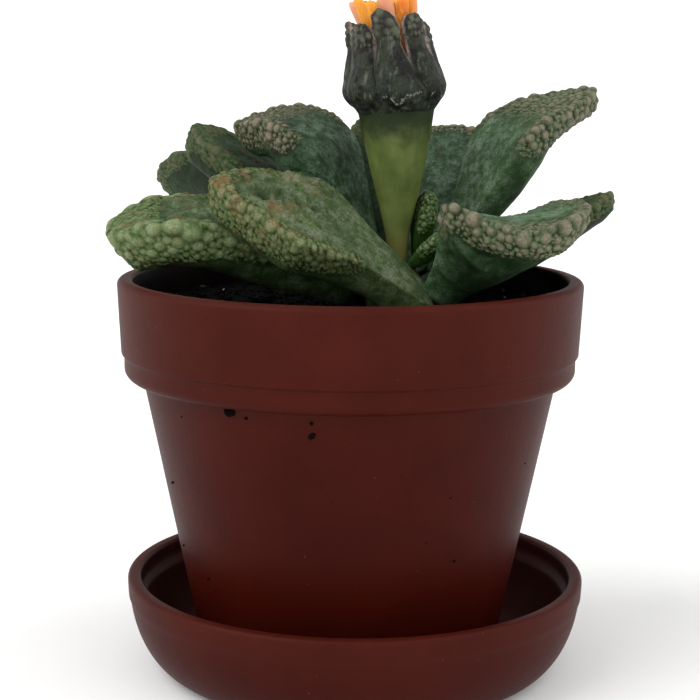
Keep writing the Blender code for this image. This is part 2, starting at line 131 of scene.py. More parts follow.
def closedFaces(rows, sides, first):
    # quads of a grid that is closed round its second axis, then a fan of triangles over each of its ends,
    # round the two points that follow the grid's own
    i, j = np.meshgrid(np.arange(rows - 1), np.arange(sides), indexing="ij")
    k = (j + 1) % sides
    quads = np.stack([i * sides + j, i * sides + k, (i + 1) * sides + k, (i + 1) * sides + j], -1)
    j, k = j[0], k[0]
    last, foot = (rows - 1) * sides, rows * sides
    under, over = np.stack([k, j, foot + 0 * j], -1), np.stack([last + j, last + k, foot + 1 + 0 * j], -1)
    return (quads.reshape(-1, 4) + first).tolist() + (np.concatenate([under, over]) + first).tolist()


def joinedPiece(name, parts):
    # one piece from closed grids of rings, each given as (grid, start, end, values): the first ring is drawn
    # together at start and the last one at end, where each value is the mean of its ring
    points, faces, columns, first = [], [], {}, 0
    for grid, start, end, values in parts:
        rows, sides = grid.shape[:2]
        points += [grid.reshape(-1, 3), [start, end]]
        faces += closedFaces(rows, sides, first)
        for key, value in values.items():
            columns.setdefault(key, []).append(np.append(value, [value[0].mean(), value[-1].mean()]))
        first += rows * sides + 2
    columns = {key: np.concatenate(column) for key, column in columns.items()}
    return makePiece(name, np.concatenate(points), faces, columns)


def closedGrid(name, grid, start, end, values=None):
    # a piece from one closed grid of rings
    return joinedPiece(name, [(grid, start, end, values or {})])


def turnedGrid(profile, sides, centre):
    # a profile of (radius, height) carried round a vertical axis
    turn = np.arange(sides) * 2 * math.pi / sides
    radius, height = np.array(profile).T
    x = centre[0] + radius[:, None] * np.cos(turn)
    y = centre[1] + radius[:, None] * np.sin(turn)
    return np.stack([x, y, np.broadcast_to(height[:, None], x.shape)], -1)


def arcPoints(x, z, radius, start, end, steps):
    # points on a circle about (x, z), from one turn to the other in degrees
    turns = np.radians(np.linspace(start, end, steps + 1))
    return list(zip(x + radius * np.cos(turns), z + radius * np.sin(turns)))


def curvePoints(points, steps):
    # a smooth line through given points, by Catmull-Rom
    p = np.array(points, float)
    p = np.concatenate([[2 * p[0] - p[1]], p, [2 * p[-1] - p[-2]]])
    t = np.linspace(0, len(points) - 1 - 1e-9, steps)
    i = np.floor(t).astype(int)
    f = (t - i)[:, None]
    a, b, c, d = p[i], p[i + 1], p[i + 2], p[i + 3]
    return 0.5 * (2 * b + (c - a) * f + (2 * a - 5 * b + 4 * c - d) * f**2 + (3 * b - 3 * c + d - a) * f**3)


# leaves: the frame's middle lines and sections, with warts, dents and a fine skin

leafForm = dict(
    # the middle line starts at root, from the crown's axis, and is length long. In degrees, it heads one way
    # and turns by swing, its slope goes from rise[0] to rise[1] between the bends, and roll tilts the leaf
    length=26, rise=(16, 16), bend=(0, 1), swing=0, roll=0,
    # half the width, depth below and above the line, and how far the edges curl up, all at the widest place
    half=5.6, keel=4.2, crest=0.8, dish=0.1,
    # outline: corner is the share of the length where the tip sets in, blunt how square it is, neck the share
    # of the width at the root, shaft how late the leaf widens
    corner=0.66, blunt=1.6, neck=0.34, shaft=1.0,
    # section: below 1, flank makes the underside full. lean makes it deeper on the left, heft and end are the
    # depth's shares at the root and the tip, and from chin on the tip rounds off
    flank=0.65, lean=0.0, heft=0.45, end=0.75, chin=0.88,
    # warts. left, right, top, under: the share of the length from which that side is warty. size: the largest
    # radius in mm, small: the radius away from the edge, band: how far they reach down the flank, wedge: the
    # share of it where the band starts, inwards: how far they reach in on top, long: how much longer than
    # wide, lift: how high
    left=0.5, right=0.5, top=0.8, under=0.84, size=0.6, small=0.3, band=2.2, wedge=0.8, inwards=1.7, long=1.0,
    lift=0.6,
    # skin: heights and sizes in mm of its waves, wrinkles and grain, the share of the length from which it is
    # wrinkled, dents as (along, aside, radius, depth), its tone, and the rows and sides of the mesh
    wave=0.16, waveSize=4.5, wrinkle=0.1, wrinkleSize=1.9, wrinkled=0.3, grain=0.025, grainSize=0.5,
    dents=(), skin="grey", fine=(150, 136),
)
leaves = {
    # on the left, from the front one to the back one
    "leaf_01": dict(
        root=(-4.4, 0.0, 45.4), heading=188, length=31.6, rise=(31, -30), bend=(0.4, 1), roll=12,
        half=6.3, keel=5.5, flank=0.6, blunt=2.1, end=0.9, chin=0.945,
        left=0.3, right=0.6, top=0.74, under=0.9, size=0.86, small=0.42, band=4.4, wedge=0.4, long=1.25,
        lift=0.56, wrinkle=0.3, dents=((0.8, 0.35, 1.6, 0.35),), skin="sunlit", fine=(190, 168),
    ),
    "leaf_02": dict(
        root=(4.1, -5.9, 44.7), heading=186, length=29.2, rise=(42, 14), bend=(0.08, 1), roll=30,
        half=7.2, keel=4.0, flank=0.6, neck=0.38, corner=0.593, blunt=1.35, end=0.95, chin=0.92,
        shaft=2.4, lean=0.4, heft=0.75,
        left=0.3, right=0.8, top=0.84, under=0.93, size=0.62, small=0.36, band=2.9, wedge=0.45,
        lift=0.52, wrinkle=0.42, skin="tanned", fine=(190, 168),
        dents=(
            (0.79, 0.14, 1.3, 1.0), (0.72, 0.05, 1.1, 0.95), (0.66, -0.03, 1.0, 0.8), (0.6, -0.12, 1.0, 0.6),
            (0.86, 0.5, 1.1, 0.4),
        ),
    ),
    "leaf_03": dict(
        root=(-3.8, 2.3, 47.4), heading=156, length=28.6, rise=(50, 31), bend=(0, 0.6), roll=4,
        half=4.5, keel=3.6, end=1.0, blunt=2.0, lean=0.1, heft=0.6,
        left=0.6, right=0.7, top=0.8, under=0.86, size=0.44, small=0.32, band=2.4, long=1.6, lift=0.62,
        wrinkle=0.2, skin="shaded",
    ),
    "leaf_04": dict(
        root=(-2.2, 1.4, 48.2), heading=161, length=28.4, rise=(68, -8), bend=(0.45, 0.85), roll=12,
        half=5.8, keel=5.8, corner=0.62, blunt=1.45, end=0.65, lean=0.25, heft=0.62,
        left=0.58, right=0.58, top=0.66, under=0.92, size=0.64, small=0.38, band=2.9, lift=0.64,
        wrinkle=0.16, skin="bloomy", fine=(190, 160),
    ),
    "leaf_05": dict(
        root=(-2.6, 3.4, 45.0), heading=139, length=41.6, rise=(34, -44), bend=(0.55, 1),
        half=4.9, keel=5.2, blunt=2.0, end=0.9, lean=0.2,
        left=0.7, right=0.74, top=0.82, under=0.86, size=0.44, small=0.32, band=2.2, long=1.6, lift=0.62,
        wrinkle=0.2, skin="shaded",
    ),
    # on the right: the tall one, and the wide one that turns to the front
    "leaf_06": dict(
        root=(4.3, 2.5, 47.4), heading=20, length=31.8, rise=(60, 21), bend=(0.53, 0.74), roll=-8,
        half=6.1, keel=4.4, neck=0.3, corner=0.58, blunt=1.6, shaft=1.6, end=0.55, chin=0.93,
        left=0.56, right=0.52, top=0.6, under=0.93, size=0.72, small=0.4, band=3.3, wedge=1.0, lift=0.62,
        wrinkle=0.12, skin="pale", fine=(200, 168),
    ),
    "leaf_07": dict(
        root=(4.2, -3.2, 45.4), heading=-30, length=22.9, rise=(47, -8), bend=(0.4, 0.75), swing=-76,
        half=8.5, keel=5.2, dish=0.25, end=0.6,
        left=0.46, right=0.42, top=0.74, under=0.9, size=0.7, small=0.4, band=3.2, wrinkle=0.12,
        skin="pale", fine=(190, 190),
    ),
    # behind the flower
    "leaf_08": dict(
        root=(2.2, 4.6, 47.2), heading=68, length=22, rise=(57, 46),
        half=5.3, corner=0.74, blunt=2.4, skin="bloomy",
        left=0.66, right=0.66, top=0.88, under=0.9, size=0.6, small=0.4, band=2.2,
    ),
    "leaf_09": dict(
        root=(-0.2, 4.2, 47.6), heading=109, length=20, rise=(68, 54),
        half=3.5, keel=2.4, blunt=2.4, skin="shaded",
        left=0.7, right=0.7, top=0.86, size=0.42, band=1.4, fine=(110, 96),
    ),
    # the two young ones beside the stalk
    "leaf_10": dict(
        root=(2.3, 0.4, 49.3), heading=12, length=8.2, rise=(86, 72),
        half=2.4, keel=1.6, skin="young",
        left=0.35, right=0.35, top=0.5, under=0.5, size=0.34, small=0.3, band=1.2, wave=0.06, wrinkle=0.05,
        fine=(90, 84),
    ),
    "leaf_11": dict(
        root=(1.3, -2.4, 48.6), heading=-15, length=7, rise=(50, 30), roll=-6,
        half=2.3, keel=1.4, skin="young",
        left=0.3, right=0.3, top=0.5, under=0.7, size=0.32, small=0.28, band=1.2, wave=0.06, wrinkle=0.05,
        fine=(90, 80),
    ),
    # low down, at the back and on the right
    "leaf_12": dict(root=(-0.2, 4.4, 45.4), heading=100, rise=(16, 20), half=6.2, fine=(120, 108)),
    "leaf_13": dict(
        root=(3.4, 3.9, 45.2), heading=50, rise=(18, 16), half=6.0, keel=3.4, skin="pale", fine=(120, 108),
    ),
    "leaf_14": dict(
        root=(4.7, 0.3, 45.2), heading=5, length=24.0, rise=(31, 28), half=5.2, keel=2.8, skin="shaded",
        left=0.7, right=0.62, top=0.8, under=0.9, size=0.5, band=1.8, fine=(120, 108),
    ),
}


def leafMidline(leaf, s):
    # places and directions at the shares s: the heading turns by swing * s^2, and the slope goes evenly from
    # rise[0] to rise[1] between the bends
    fine = np.linspace(0, 1, 97)
    turn = np.radians(leaf["heading"] + leaf["swing"] * fine**2)
    since, until = leaf["bend"]
    share = np.clip((fine - since) / (until - since), 0, 1)
    slope = np.radians(leaf["rise"][0] + (leaf["rise"][1] - leaf["rise"][0]) * share)
    way = np.stack([np.cos(slope) * np.cos(turn), np.cos(slope) * np.sin(turn), np.sin(slope)], 1)
    steps = (way[1:] + way[:-1]) / 2 * leaf["length"] / (len(fine) - 1)
    line = np.concatenate([np.zeros((1, 3)), np.cumsum(steps, 0)])
    x, y, height = leaf["root"]
    line += (crownAxis[0] + x, crownAxis[1] + y, height)
    return [np.stack([np.interp(s, fine, table[:, k]) for k in range(3)], -1) for table in (line, way)]


def leafSection(leaf, s):
    # half the width, and the depth below and above the middle line, at the shares s of the length
    nose = np.clip((s - leaf["corner"]) / (1 - leaf["corner"]), 0, 1)
    heel = np.sqrt(1 - (1 - np.clip(s / 0.06, 0, 1)) ** 2)
    spoon = leaf["neck"] + (1 - leaf["neck"]) * smoothStep(s / (leaf["corner"] + 0.04)) ** leaf["shaft"]
    half = leaf["half"] * spoon * heel * (1 - nose ** leaf["blunt"]) ** (1 / leaf["blunt"])
    swell = leaf["heft"] + (1 - leaf["heft"]) * smoothStep(s / 0.45)
    swell = swell - (1 - leaf["end"]) * smoothStep((s - 0.5) / 0.4)
    chin = np.clip((s - leaf["chin"]) / (1 - leaf["chin"]), 0, 1)
    swell = swell * heel * np.sqrt(1 - chin**2)
    return half, leaf["keel"] * swell, leaf["crest"] * swell


def leafSurface(leaf, s, turn):
    # a rounded section, wider than it is thick, carried along the middle line; turn 0 is its left edge
    middle, way = leafMidline(leaf, s)
    across = np.stack([-way[:, 1], way[:, 0], np.zeros(len(s))], 1)
    across /= np.linalg.norm(across, axis=1)[:, None]
    up = np.cross(way, across)
    tilt = np.radians(leaf["roll"]) * smoothStep(s / 0.4 + 0.4)[:, None]
    across, up = across * np.cos(tilt) - up * np.sin(tilt), up * np.cos(tilt) + across * np.sin(tilt)
    half, depth, crest = leafSection(leaf, s)
    c, n = np.cos(turn)[None, :], np.sin(turn)[None, :]
    aside = half[:, None] * np.sign(c) * np.abs(c) ** np.where(n > 0, 0.9, leaf["flank"])
    below = -depth[:, None] * np.abs(n) ** leaf["flank"] * (1 + leaf["lean"] * c)
    high = np.where(n > 0, crest[:, None] * np.abs(n) ** 0.8, below)
    high = high + leaf["dish"] * half[:, None] * c**2
    return middle[:, None] + across[:, None] * aside[..., None] + up[:, None] * high[..., None]


def evenStations(leaf, rows):
    # shares of the length, evenly spaced along the outline and closer together at the warty end
    fine = np.linspace(0, 1, 1500)
    edges = leafSurface(leaf, fine, np.arange(4) * math.pi / 2)
    steps = np.linalg.norm(np.diff(edges, axis=0), axis=-1).mean(1)
    steps *= 1 + 0.9 * smoothStep((fine[1:] - 0.3) / 0.3)
    walked = np.concatenate([[0], np.cumsum(steps)])
    return np.interp(np.linspace(0, 1, rows + 2)[1:-1], walked / walked[-1], fine)


def evenTurns(leaf, sides):
    # turns evenly spaced round the section at the widest place
    fine = np.linspace(0, 2 * math.pi, 1441)
    ring = leafSurface(leaf, np.array([leaf["corner"]]), fine)[0]
    walked = np.concatenate([[0], np.cumsum(np.linalg.norm(np.diff(ring, axis=0), axis=-1))])
    return np.interp(np.arange(sides) / sides, walked / walked[-1], fine)


def wartField(leaf, s, turn):
    # the radius of wart that each place carries: largest at the edge, smaller inwards and down the flank
    half, depth = leafSection(leaf, s)[:2]
    c, n = np.cos(turn)[None, :], np.sin(turn)[None, :]
    inward = half[:, None] * (1 - np.abs(c) ** 0.9)
    under = depth[:, None] * np.abs(n) ** leaf["flank"]
    s = s[:, None]
    since = np.where(c > 0, leaf["left"], leaf["right"])
    onset = smoothStep((s - since) / 0.22 + 0.3)
    wedge = leaf["wedge"] + (1 - leaf["wedge"]) * np.clip((s - since) / 0.4, 0, 1) ** 0.8
    reach = np.where(n > 0, inward / leaf["inwards"], under / (leaf["band"] * wedge))
    band = np.clip(1 - reach, 0, 1) ** 0.6 * onset
    onTop = np.where(n > 0, 1.0, 0.0) * smoothStep((s - leaf["top"]) / 0.24 + 0.2)
    onUnder = np.where(n <= 0, 1.0, 0.0) * smoothStep((s - leaf["under"]) / 0.1)
    patchy = 0.95 + 0.3 * latticeNoise(leafSurface(leaf, s[:, 0], turn), 1.6, 8)
    return patchy * np.maximum(leaf["size"] * band, leaf["small"] * np.maximum(onTop, onUnder))


# rounds of warts: their share of the radius that a place carries, and how many are tried
wartRounds = ((1.15, 500), (0.9, 900), (0.7, 1500), (0.5, 2400), (0.36, 3000))
wartShape = dict(
    # the least radius and the least field that carries one, the share of two radii that keeps them apart, how
    # wide a dome spreads for its radius, and by how much and over what size its outline is bent
    least=0.13, field=0.16, apart=0.84, spread=1.16, bend=0.1, bendSize=0.9,
)


def scatterWarts(grid, field, seed, rounds=wartRounds):
    # dart throwing, the largest first: a wart stays where it overlaps no earlier one by much
    draw = np.random.default_rng(seed)
    alongRows = np.gradient(grid, axis=0)
    around = (np.roll(grid, -1, 1) - np.roll(grid, 1, 1)) / 2
    area = np.linalg.norm(np.cross(alongRows, around), axis=-1)
    chance = (area * (field > wartShape["field"])).reshape(-1)
    flat, want = grid.reshape(-1, 3), field.reshape(-1)
    centres, sizes, places = np.zeros((0, 3)), np.zeros(0), []
    for scale, tries in rounds:
        picks = draw.choice(len(want), tries, p=chance / chance.sum())
        wishes = want[picks] * scale * draw.uniform(0.8, 1.2, tries)
        for pick, size in zip(picks, wishes):
            far = np.linalg.norm(centres - flat[pick], axis=1)
            if size > wartShape["least"] and (far > (sizes + size) * wartShape["apart"]).all():
                centres = np.concatenate([centres, flat[pick : pick + 1]])
                sizes = np.append(sizes, size)
                places.append(pick)
    return centres, sizes, np.array(places) // field.shape[1]


def wartRelief(grid, centres, sizes, rowsOf, seed, rise, long):
    # domes over the centres that run into each other: sum of their heights' cubes, and its cube root.
    # also the share of the highest one, a number of its own for each wart, and its size
    draw = np.random.default_rng(seed)
    shape = grid.shape[:2]
    cubes, share, own, bulk = np.zeros(shape), np.zeros(shape), np.zeros(shape), np.zeros(shape)
    spacing = np.linalg.norm(np.diff(grid, axis=0), axis=-1).mean()
    shifts = [latticeNoise(grid, wartShape["bendSize"], seed + k) for k in (1, 2, 3)]
    bent = grid + wartShape["bend"] * np.stack(shifts, -1)
    way = grid[-1].mean(0) - grid[len(grid) // 2].mean(0)
    way /= np.linalg.norm(way)
    for centre, size, row, tint in zip(centres, sizes, rowsOf, draw.random(len(sizes))):
        reach = int(size * 1.2 * long / spacing * 2.2) + 3
        rows = slice(max(row - reach, 0), row + reach + 1)
        gone = bent[rows] - centre
        gone = gone - (gone @ way)[..., None] * way * (1 - 1 / (1 + (long - 1) * (0.4 + tint)))
        q = np.linalg.norm(gone, axis=-1) / (size * wartShape["spread"])
        dome = np.clip(1 - q**2, 0, 1) ** 0.9
        wins = dome > share[rows]
        cubes[rows] += (size * rise * (0.75 + 0.5 * tint) * dome) ** 3
        share[rows] = np.where(wins, dome, share[rows])
        own[rows] = np.where(wins, tint, own[rows])
        bulk[rows] = np.where(wins, size, bulk[rows])
    return np.cbrt(cubes), share, own, bulk


def leafPiece(name, own, seed):
    # one leaf: its surface pushed out by warts, waves, wrinkles and grain, and pushed in by dents
    leaf = {**leafForm, **own}
    rows, sides = leaf["fine"]
    s, turn = evenStations(leaf, rows), evenTurns(leaf, sides)
    grid = leafSurface(leaf, s, turn)
    outward = gridNormals(grid)
    field = wartField(leaf, s, turn)
    centres, sizes, rowsOf = scatterWarts(grid, field, seed)
    height, share, tint, bulk = wartRelief(grid, centres, sizes, rowsOf, seed, leaf["lift"], leaf["long"])
    zone = smoothStep(field / 0.3)
    face = np.broadcast_to(smoothStep(np.sin(turn) * 2 + 0.5)[None, :], height.shape)
    along = np.broadcast_to(s[:, None], height.shape)
    wave = leaf["wave"] * rollingNoise(grid, leaf["waveSize"], seed) * smoothStep(s / 0.2)[:, None]
    folds = 1 - 2 * np.abs(rollingNoise(grid, leaf["wrinkleSize"], seed + 4, 3))
    uneven = leaf["wrinkle"] * folds * smoothStep((along - leaf["wrinkled"]) / 0.3)
    uneven = uneven * (0.25 + 0.75 * face) * (1 - 0.7 * share)
    grain = leaf["grain"] * rollingNoise(grid, leaf["grainSize"], seed + 9, 2)
    sink = np.zeros_like(height)
    for place, aside, radius, depth in leaf["dents"]:
        middle = leafSurface(leaf, np.array([place]), np.array([math.acos(aside)]))[0, 0]
        q = np.linalg.norm(grid - middle, axis=-1) / radius + 0.25 * latticeNoise(grid, 1.0, seed + 6)
        sink += depth * (np.exp(-(q**2) * 1.6) - 0.42 * np.exp(-((q - 1.35) ** 2) * 7))
    moved = grid + outward * (height + wave + uneven + grain - sink)[..., None]
    # the depth in the dents and in the troughs of the wrinkles is kept for painted shade there
    values = dict(
        wart=share, tint=tint, bulk=np.clip(bulk / 0.8, 0, 1), zone=zone, face=face, along=along,
        hollowShade=np.clip(sink - 0.35 * uneven, 0, 1),
    )
    start, end = leafMidline(leaf, np.array([0.0, 1.0]))[0]
    piece = closedGrid("skin_" + name, moved, start, end + (moved[-1].mean(0) - end) * 0.9, values)
    return piece, len(sizes)


# shader maths: arithmetic on a wrapped socket adds Math nodes to its material

class Shade:
    # a socket: with a number or another Shade, each of + - * ** gives the result's socket
    def __init__(self, tree, socket):
        self.tree, self.socket = tree, socket

    def math(self, operation, *others):
        return addNode(self.tree, "ShaderNodeMath", dict(operation=operation), [self, *others])

    def __add__(self, other):
        return self.math("ADD", other)

    def __mul__(self, other):
        return self.math("MULTIPLY", other)

    def __sub__(self, other):
        return self.math("SUBTRACT", other)

    def __rsub__(self, other):
        return addNode(self.tree, "ShaderNodeMath", dict(operation="SUBTRACT"), [other, self])

    def __pow__(self, other):
        return self.math("POWER", other)

    __radd__ = __add__
    __rmul__ = __mul__

    def between(self, low, high):
        # 0 below low, 1 above high, smooth in between
        inputs = {0: self, 1: low, 2: high}
        return addNode(self.tree, "ShaderNodeMapRange", dict(interpolation_type="SMOOTHSTEP"), inputs)


def addNode(tree, kind, settings, inputs=(), out=0):
    # any node: its settings first, then the values or links of its sockets
    node = tree.nodes.new(kind)
    for key, value in settings.items():
        setattr(node, key, value)
    pairs = inputs.items() if isinstance(inputs, dict) else enumerate(inputs)
    for key, value in pairs:
        if isinstance(value, Shade):
            tree.links.new(value.socket, node.inputs[key])
        else:
            node.inputs[key].default_value = value
    return Shade(tree, node.outputs[out])


def seen(red, green, blue):
    # a colour as seen, 0 to 255, as the linear values that a shader takes
    return tuple((value / 255) ** 2.2 for value in (red, green, blue)) + (1.0,)


class Finish:
    # one material. own() reads a surface's own number, noise() and cells() are patterns of a size in mm
    def __init__(self, name, **fixed):
        self.material = bpy.data.materials.new(name)
        self.material.use_nodes = True
        self.tree = self.material.node_tree
        self.shader = self.tree.nodes["Principled BSDF"]
        self.place = addNode(self.tree, "ShaderNodeTexCoord", {}, out=3)
        for key, value in fixed.items():
            self.shader.inputs[key.replace("_", " ")].default_value = value

    def own(self, key):
        # a number that the mesh carries on its points
        return addNode(self.tree, "ShaderNodeAttribute", dict(attribute_name=key), out=2)

    def stretched(self, scale):
        # the place, times a scale for each axis
        return addNode(self.tree, "ShaderNodeMapping", {}, {"Vector": self.place, "Scale": scale})

    def noise(self, size, detail, rough=0.5, place=None):
        # clouds from 0 to 1: detail is their number of layers, rough the share that each keeps of the last
        inputs = {"Vector": place or self.place, "Scale": 1 / (size * mm)}
        inputs.update({"Detail": detail, "Roughness": rough})
        return addNode(self.tree, "ShaderNodeTexNoise", {}, inputs)

    def cells(self, size):
        # the distance from the nearest of scattered points, in sizes
        inputs = {"Vector": self.place, "Scale": 1 / (size * mm)}
        return addNode(self.tree, "ShaderNodeTexVoronoi", {}, inputs)

    def blend(self, mask, first, second, kind="MIX"):
        # first times 1 - mask, plus second times mask. MULTIPLY takes first times second as the second
        inputs = {0: mask, 6: first, 7: second}
        return addNode(self.tree, "ShaderNodeMix", dict(data_type="RGBA", blend_type=kind), inputs, out=2)

    def feed(self, key, value):
        # links a value to the shader's socket
        self.tree.links.new(value.socket, self.shader.inputs[key])

    def relief(self, height, depth, strength):
        # small bumps: the height, 0 to 1, times the depth in mm
        inputs = {"Strength": strength, "Distance": depth * mm, "Height": height}
        self.feed("Normal", addNode(self.tree, "ShaderNodeBump", {}, inputs))


def tissueFinish(name, shine, weight, colours, depth):
    # living tissue that lets light through: how much of it, for red, green and blue, and how deep in mm
    return Finish(
        name, Specular_IOR_Level=shine, Subsurface_Weight=weight, Subsurface_Radius=colours,
        Subsurface_Scale=depth * mm,
    )


# colours as seen: deep, green and bloom of the flesh, gap for the painted shade between the warts, side and
# top of a wart, and tan.
# tanned is the share of brown patches, waxy the strength of the bloom
# a wart's side and top: its own pale colour, with painted shade on the side and a painted highlight on the
# top
leafTones = {
    "grey": dict(
        deep=(22, 38, 20), green=(48, 74, 40), bloom=(92, 112, 90), gap=(34, 36, 24), side=(78, 78, 60),
        top=(146, 136, 118), tan=(104, 78, 56), tanned=0.15, waxy=0.7,
    ),
    "pale": dict(
        deep=(38, 62, 34), green=(74, 106, 64), bloom=(126, 146, 124), gap=(38, 36, 25), side=(88, 84, 66),
        top=(152, 142, 124), tan=(104, 78, 56), tanned=0.15, waxy=0.85,
    ),
    "bloomy": dict(
        deep=(22, 40, 22), green=(52, 82, 48), bloom=(110, 132, 112), gap=(42, 38, 26), side=(88, 82, 64),
        top=(158, 146, 126), tan=(104, 78, 56), tanned=0.2, waxy=0.8,
    ),
    "sunlit": dict(
        deep=(30, 48, 22), green=(74, 98, 52), bloom=(126, 142, 114), gap=(26, 40, 16), side=(82, 106, 58),
        top=(150, 163, 120), tan=(116, 80, 56), tanned=0.55, waxy=0.6,
    ),
    "tanned": dict(
        deep=(42, 62, 31), green=(80, 100, 57), bloom=(122, 132, 108), gap=(34, 37, 20), side=(80, 97, 54),
        top=(144, 145, 110), tan=(132, 100, 68), tanned=0.7, waxy=0.75,
    ),
    "shaded": dict(
        deep=(16, 30, 13), green=(38, 66, 28), bloom=(74, 96, 68), gap=(22, 34, 14), side=(58, 76, 40),
        top=(106, 110, 80), tan=(104, 82, 56), tanned=0.25, waxy=0.45,
    ),
    "young": dict(
        deep=(18, 36, 12), green=(46, 76, 26), bloom=(60, 88, 42), gap=(22, 40, 12), side=(66, 94, 40),
        top=(150, 160, 124), tan=(120, 100, 60), tanned=0.0, waxy=0.2,
    ),
}


def leafSkin(name, tone):
    # green flesh under a broken waxy bloom, painted shade between the warts and in dents, the large warts
    # pale and brownish
    skin = tissueFinish(name, 0.16, 0.08, (0.5, 1.0, 0.3), 0.7)
    tones = {key: seen(*value) for key, value in tone.items() if key not in ("tanned", "waxy")}
    wart, tint, zone, bulk = skin.own("wart"), skin.own("tint"), skin.own("zone"), skin.own("bulk")
    face, along, hollowShade = skin.own("face"), skin.own("along"), skin.own("hollowShade")
    broad, patchy, fine = skin.noise(5.0, 3), skin.noise(1.5, 6, 0.68), skin.noise(0.24, 4, 0.7)
    flesh = skin.blend(broad.between(0.32, 0.68), tones["deep"], tones["green"])
    # the top face pulled toward the lighter green and the underside left deeper: partly painted light falling
    # from above
    flesh = skin.blend(face * 0.45 + patchy.between(0.45, 0.7) * 0.4, flesh, tones["green"])
    waxy = (face * 0.45 + 0.2 + broad.between(0.42, 0.66) * 0.5) * patchy.between(0.38, 0.62)
    waxy = waxy * (1 - zone * 0.5)
    flesh = skin.blend(waxy * tone["waxy"] * (0.7 + fine * 0.6), flesh, tones["bloom"])
    specks = (1 - skin.cells(0.5).between(0.12, 0.3)) * (0.25 + patchy.between(0.4, 0.6) * 0.45)
    flesh = skin.blend(specks * (1 - zone * 0.6), flesh, tones["deep"])
    mottle = skin.noise(0.8, 5, 0.66).between(0.5, 0.62) * (0.3 + broad * 0.5)
    flesh = skin.blend(mottle * (1 - zone * 0.5), flesh, tones["deep"])
    # painted shade between the warts: the gap colour wherever no wart rises in the warty zone
    flesh = skin.blend(zone * (1 - wart.between(0.0, 0.5)) * 0.85, flesh, tones["gap"])
    # each wart is darker on its side with painted shade and lighter on its top with a painted highlight, over
    # its own pale colour
    side = skin.blend(tint * 0.35 + (1 - bulk) * 0.55, tones["side"], tones["green"])
    cap = skin.blend((1 - bulk) * 0.5 + tint * 0.35 + patchy.between(0.4, 0.7) * 0.2, tones["top"], side)
    knob = skin.blend(wart.between(0.35, 0.95) * (0.75 + fine * 0.5), side, cap)
    colour = skin.blend(wart.between(0.08, 0.5) * 0.92, flesh, knob)
    brown = skin.noise(2.2, 5, 0.68).between(0.5, 0.62) * along.between(0.5, 0.85) * tone["tanned"]
    colour = skin.blend(brown * (0.3 + face * 0.7) * (0.6 + fine * 0.6), colour, tones["tan"])
    # painted shade in the dents and in the troughs of the wrinkles
    colour = skin.blend(hollowShade.between(0.08, 0.6) * 0.75, colour, tones["deep"])
    crust = skin.noise(0.7, 4, 0.7).between(0.56, 0.66) * zone * 0.35
    colour = skin.blend(crust, colour, tones["tan"])
    grey = skin.blend(fine.between(0.2, 0.8), seen(100, 100, 100), seen(255, 255, 255))
    skin.feed("Base Color", skin.blend(0.65, colour, grey, "MULTIPLY"))
    skin.feed("Roughness", 0.5 + patchy * 0.25 - wart * 0.08)
    skin.relief(fine * 0.6 + skin.cells(0.26) * 0.4 + skin.noise(0.9, 3) * 0.8, 0.11, 0.9)
    return skin.material


def dressLeaves():
    # one material for each tone, and each leaf's piece with its own
    skins = {name: leafSkin("leaf skin " + name, tone) for name, tone in leafTones.items()}
    for number, (name, own) in enumerate(leaves.items()):
        piece, count = leafPiece(name, own, 11 + number)
        kind = own.get("skin", leafForm["skin"])
        piece.data.materials.append(skins[kind])
        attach(piece, "root")
        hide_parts(name)
        print(name, count, "warts,", len(piece.data.polygons), "faces")


# pot and saucer: one profile each, carried round the axis

potForm = dict(
    # outer radii of the tapering wall, its thickness and the rim's, and by how much the collar's outside and
    # inside narrow downwards
    wallTop=24.6, foot=17.8, wall=1.3, face=1.8, taper=0.4, innerTaper=0.3,
    # heights of the collar and the band under it, and how far the band steps in
    collar=8.9, band=2.8, step=0.35,
    # radii of the rounded edges: rim outside and inside, collar's foot, band, above the wall, foot, floor
    round=0.7, rimRound=0.4, collarRound=0.35, bandRound=1.2, fillet=0.3, footRound=0.6, floorRound=1.0,
    # the ring groove under the foot, as (way in from its radius, height)
    groove=((2.4, 0), (2.2, 0.25), (1.4, 0.25), (1.2, 0)),
    # drain holes: number, radius of their circle and of each. Then the mesh, and its unevenness
    drains=4, drainCircle=11.0, drain=1.9, sides=168, wobble=0.035,
)
saucerForm = dict(
    # the foot's radius, the floor's height, the wall's thickness, the ledge's width and depth below the top
    foot=21.1, floor=1.5, wall=1.6, ledge=0.5, ledgeDrop=2.2,
    # the lip's radius, and how deep the crease under it is and how far below it lies
    lip=0.5, crease=0.14, creaseDrop=2.3,
    groove=((3.0, 0), (2.7, 0.2), (1.2, 0.2), (0.9, 0)), sides=168, wobble=0.035,
)


def underside(form, level):
    # the start of a profile, from near the axis to the foot's edge with a groove on the way
    return [(0.8, level)] + [(form["foot"] - inset, level + high) for inset, high in form["groove"]]


def evenProfile(profile, step):
    # the same profile with points added until none are more than step apart
    out = [profile[0]]
    for (x0, z0), (x1, z1) in zip(profile, profile[1:]):
        count = max(1, math.ceil(math.hypot(x1 - x0, z1 - z0) / step))
        out += [(x0 + (x1 - x0) * k / count, z0 + (z1 - z0) * k / count) for k in range(1, count + 1)]
    return out


def turnedPiece(name, profile, form, centre, seed):
    # the profile goes from the middle of the underside, up the outside and down the inside; its radii waver
    # by a wide noise
    grid = turnedGrid(evenProfile(profile, 1.1), form["sides"], centre)
    away = grid - np.array([*centre, 0])
    away[..., 2] = 0
    away /= np.linalg.norm(away, axis=-1, keepdims=True)
    grid = grid + away * (form["wobble"] * rollingNoise(grid, 14, seed, 2))[..., None]
    start, end = [np.array([*centre, profile[k][1]]) for k in (0, -1)]
    return closedGrid(name, grid, start, end)


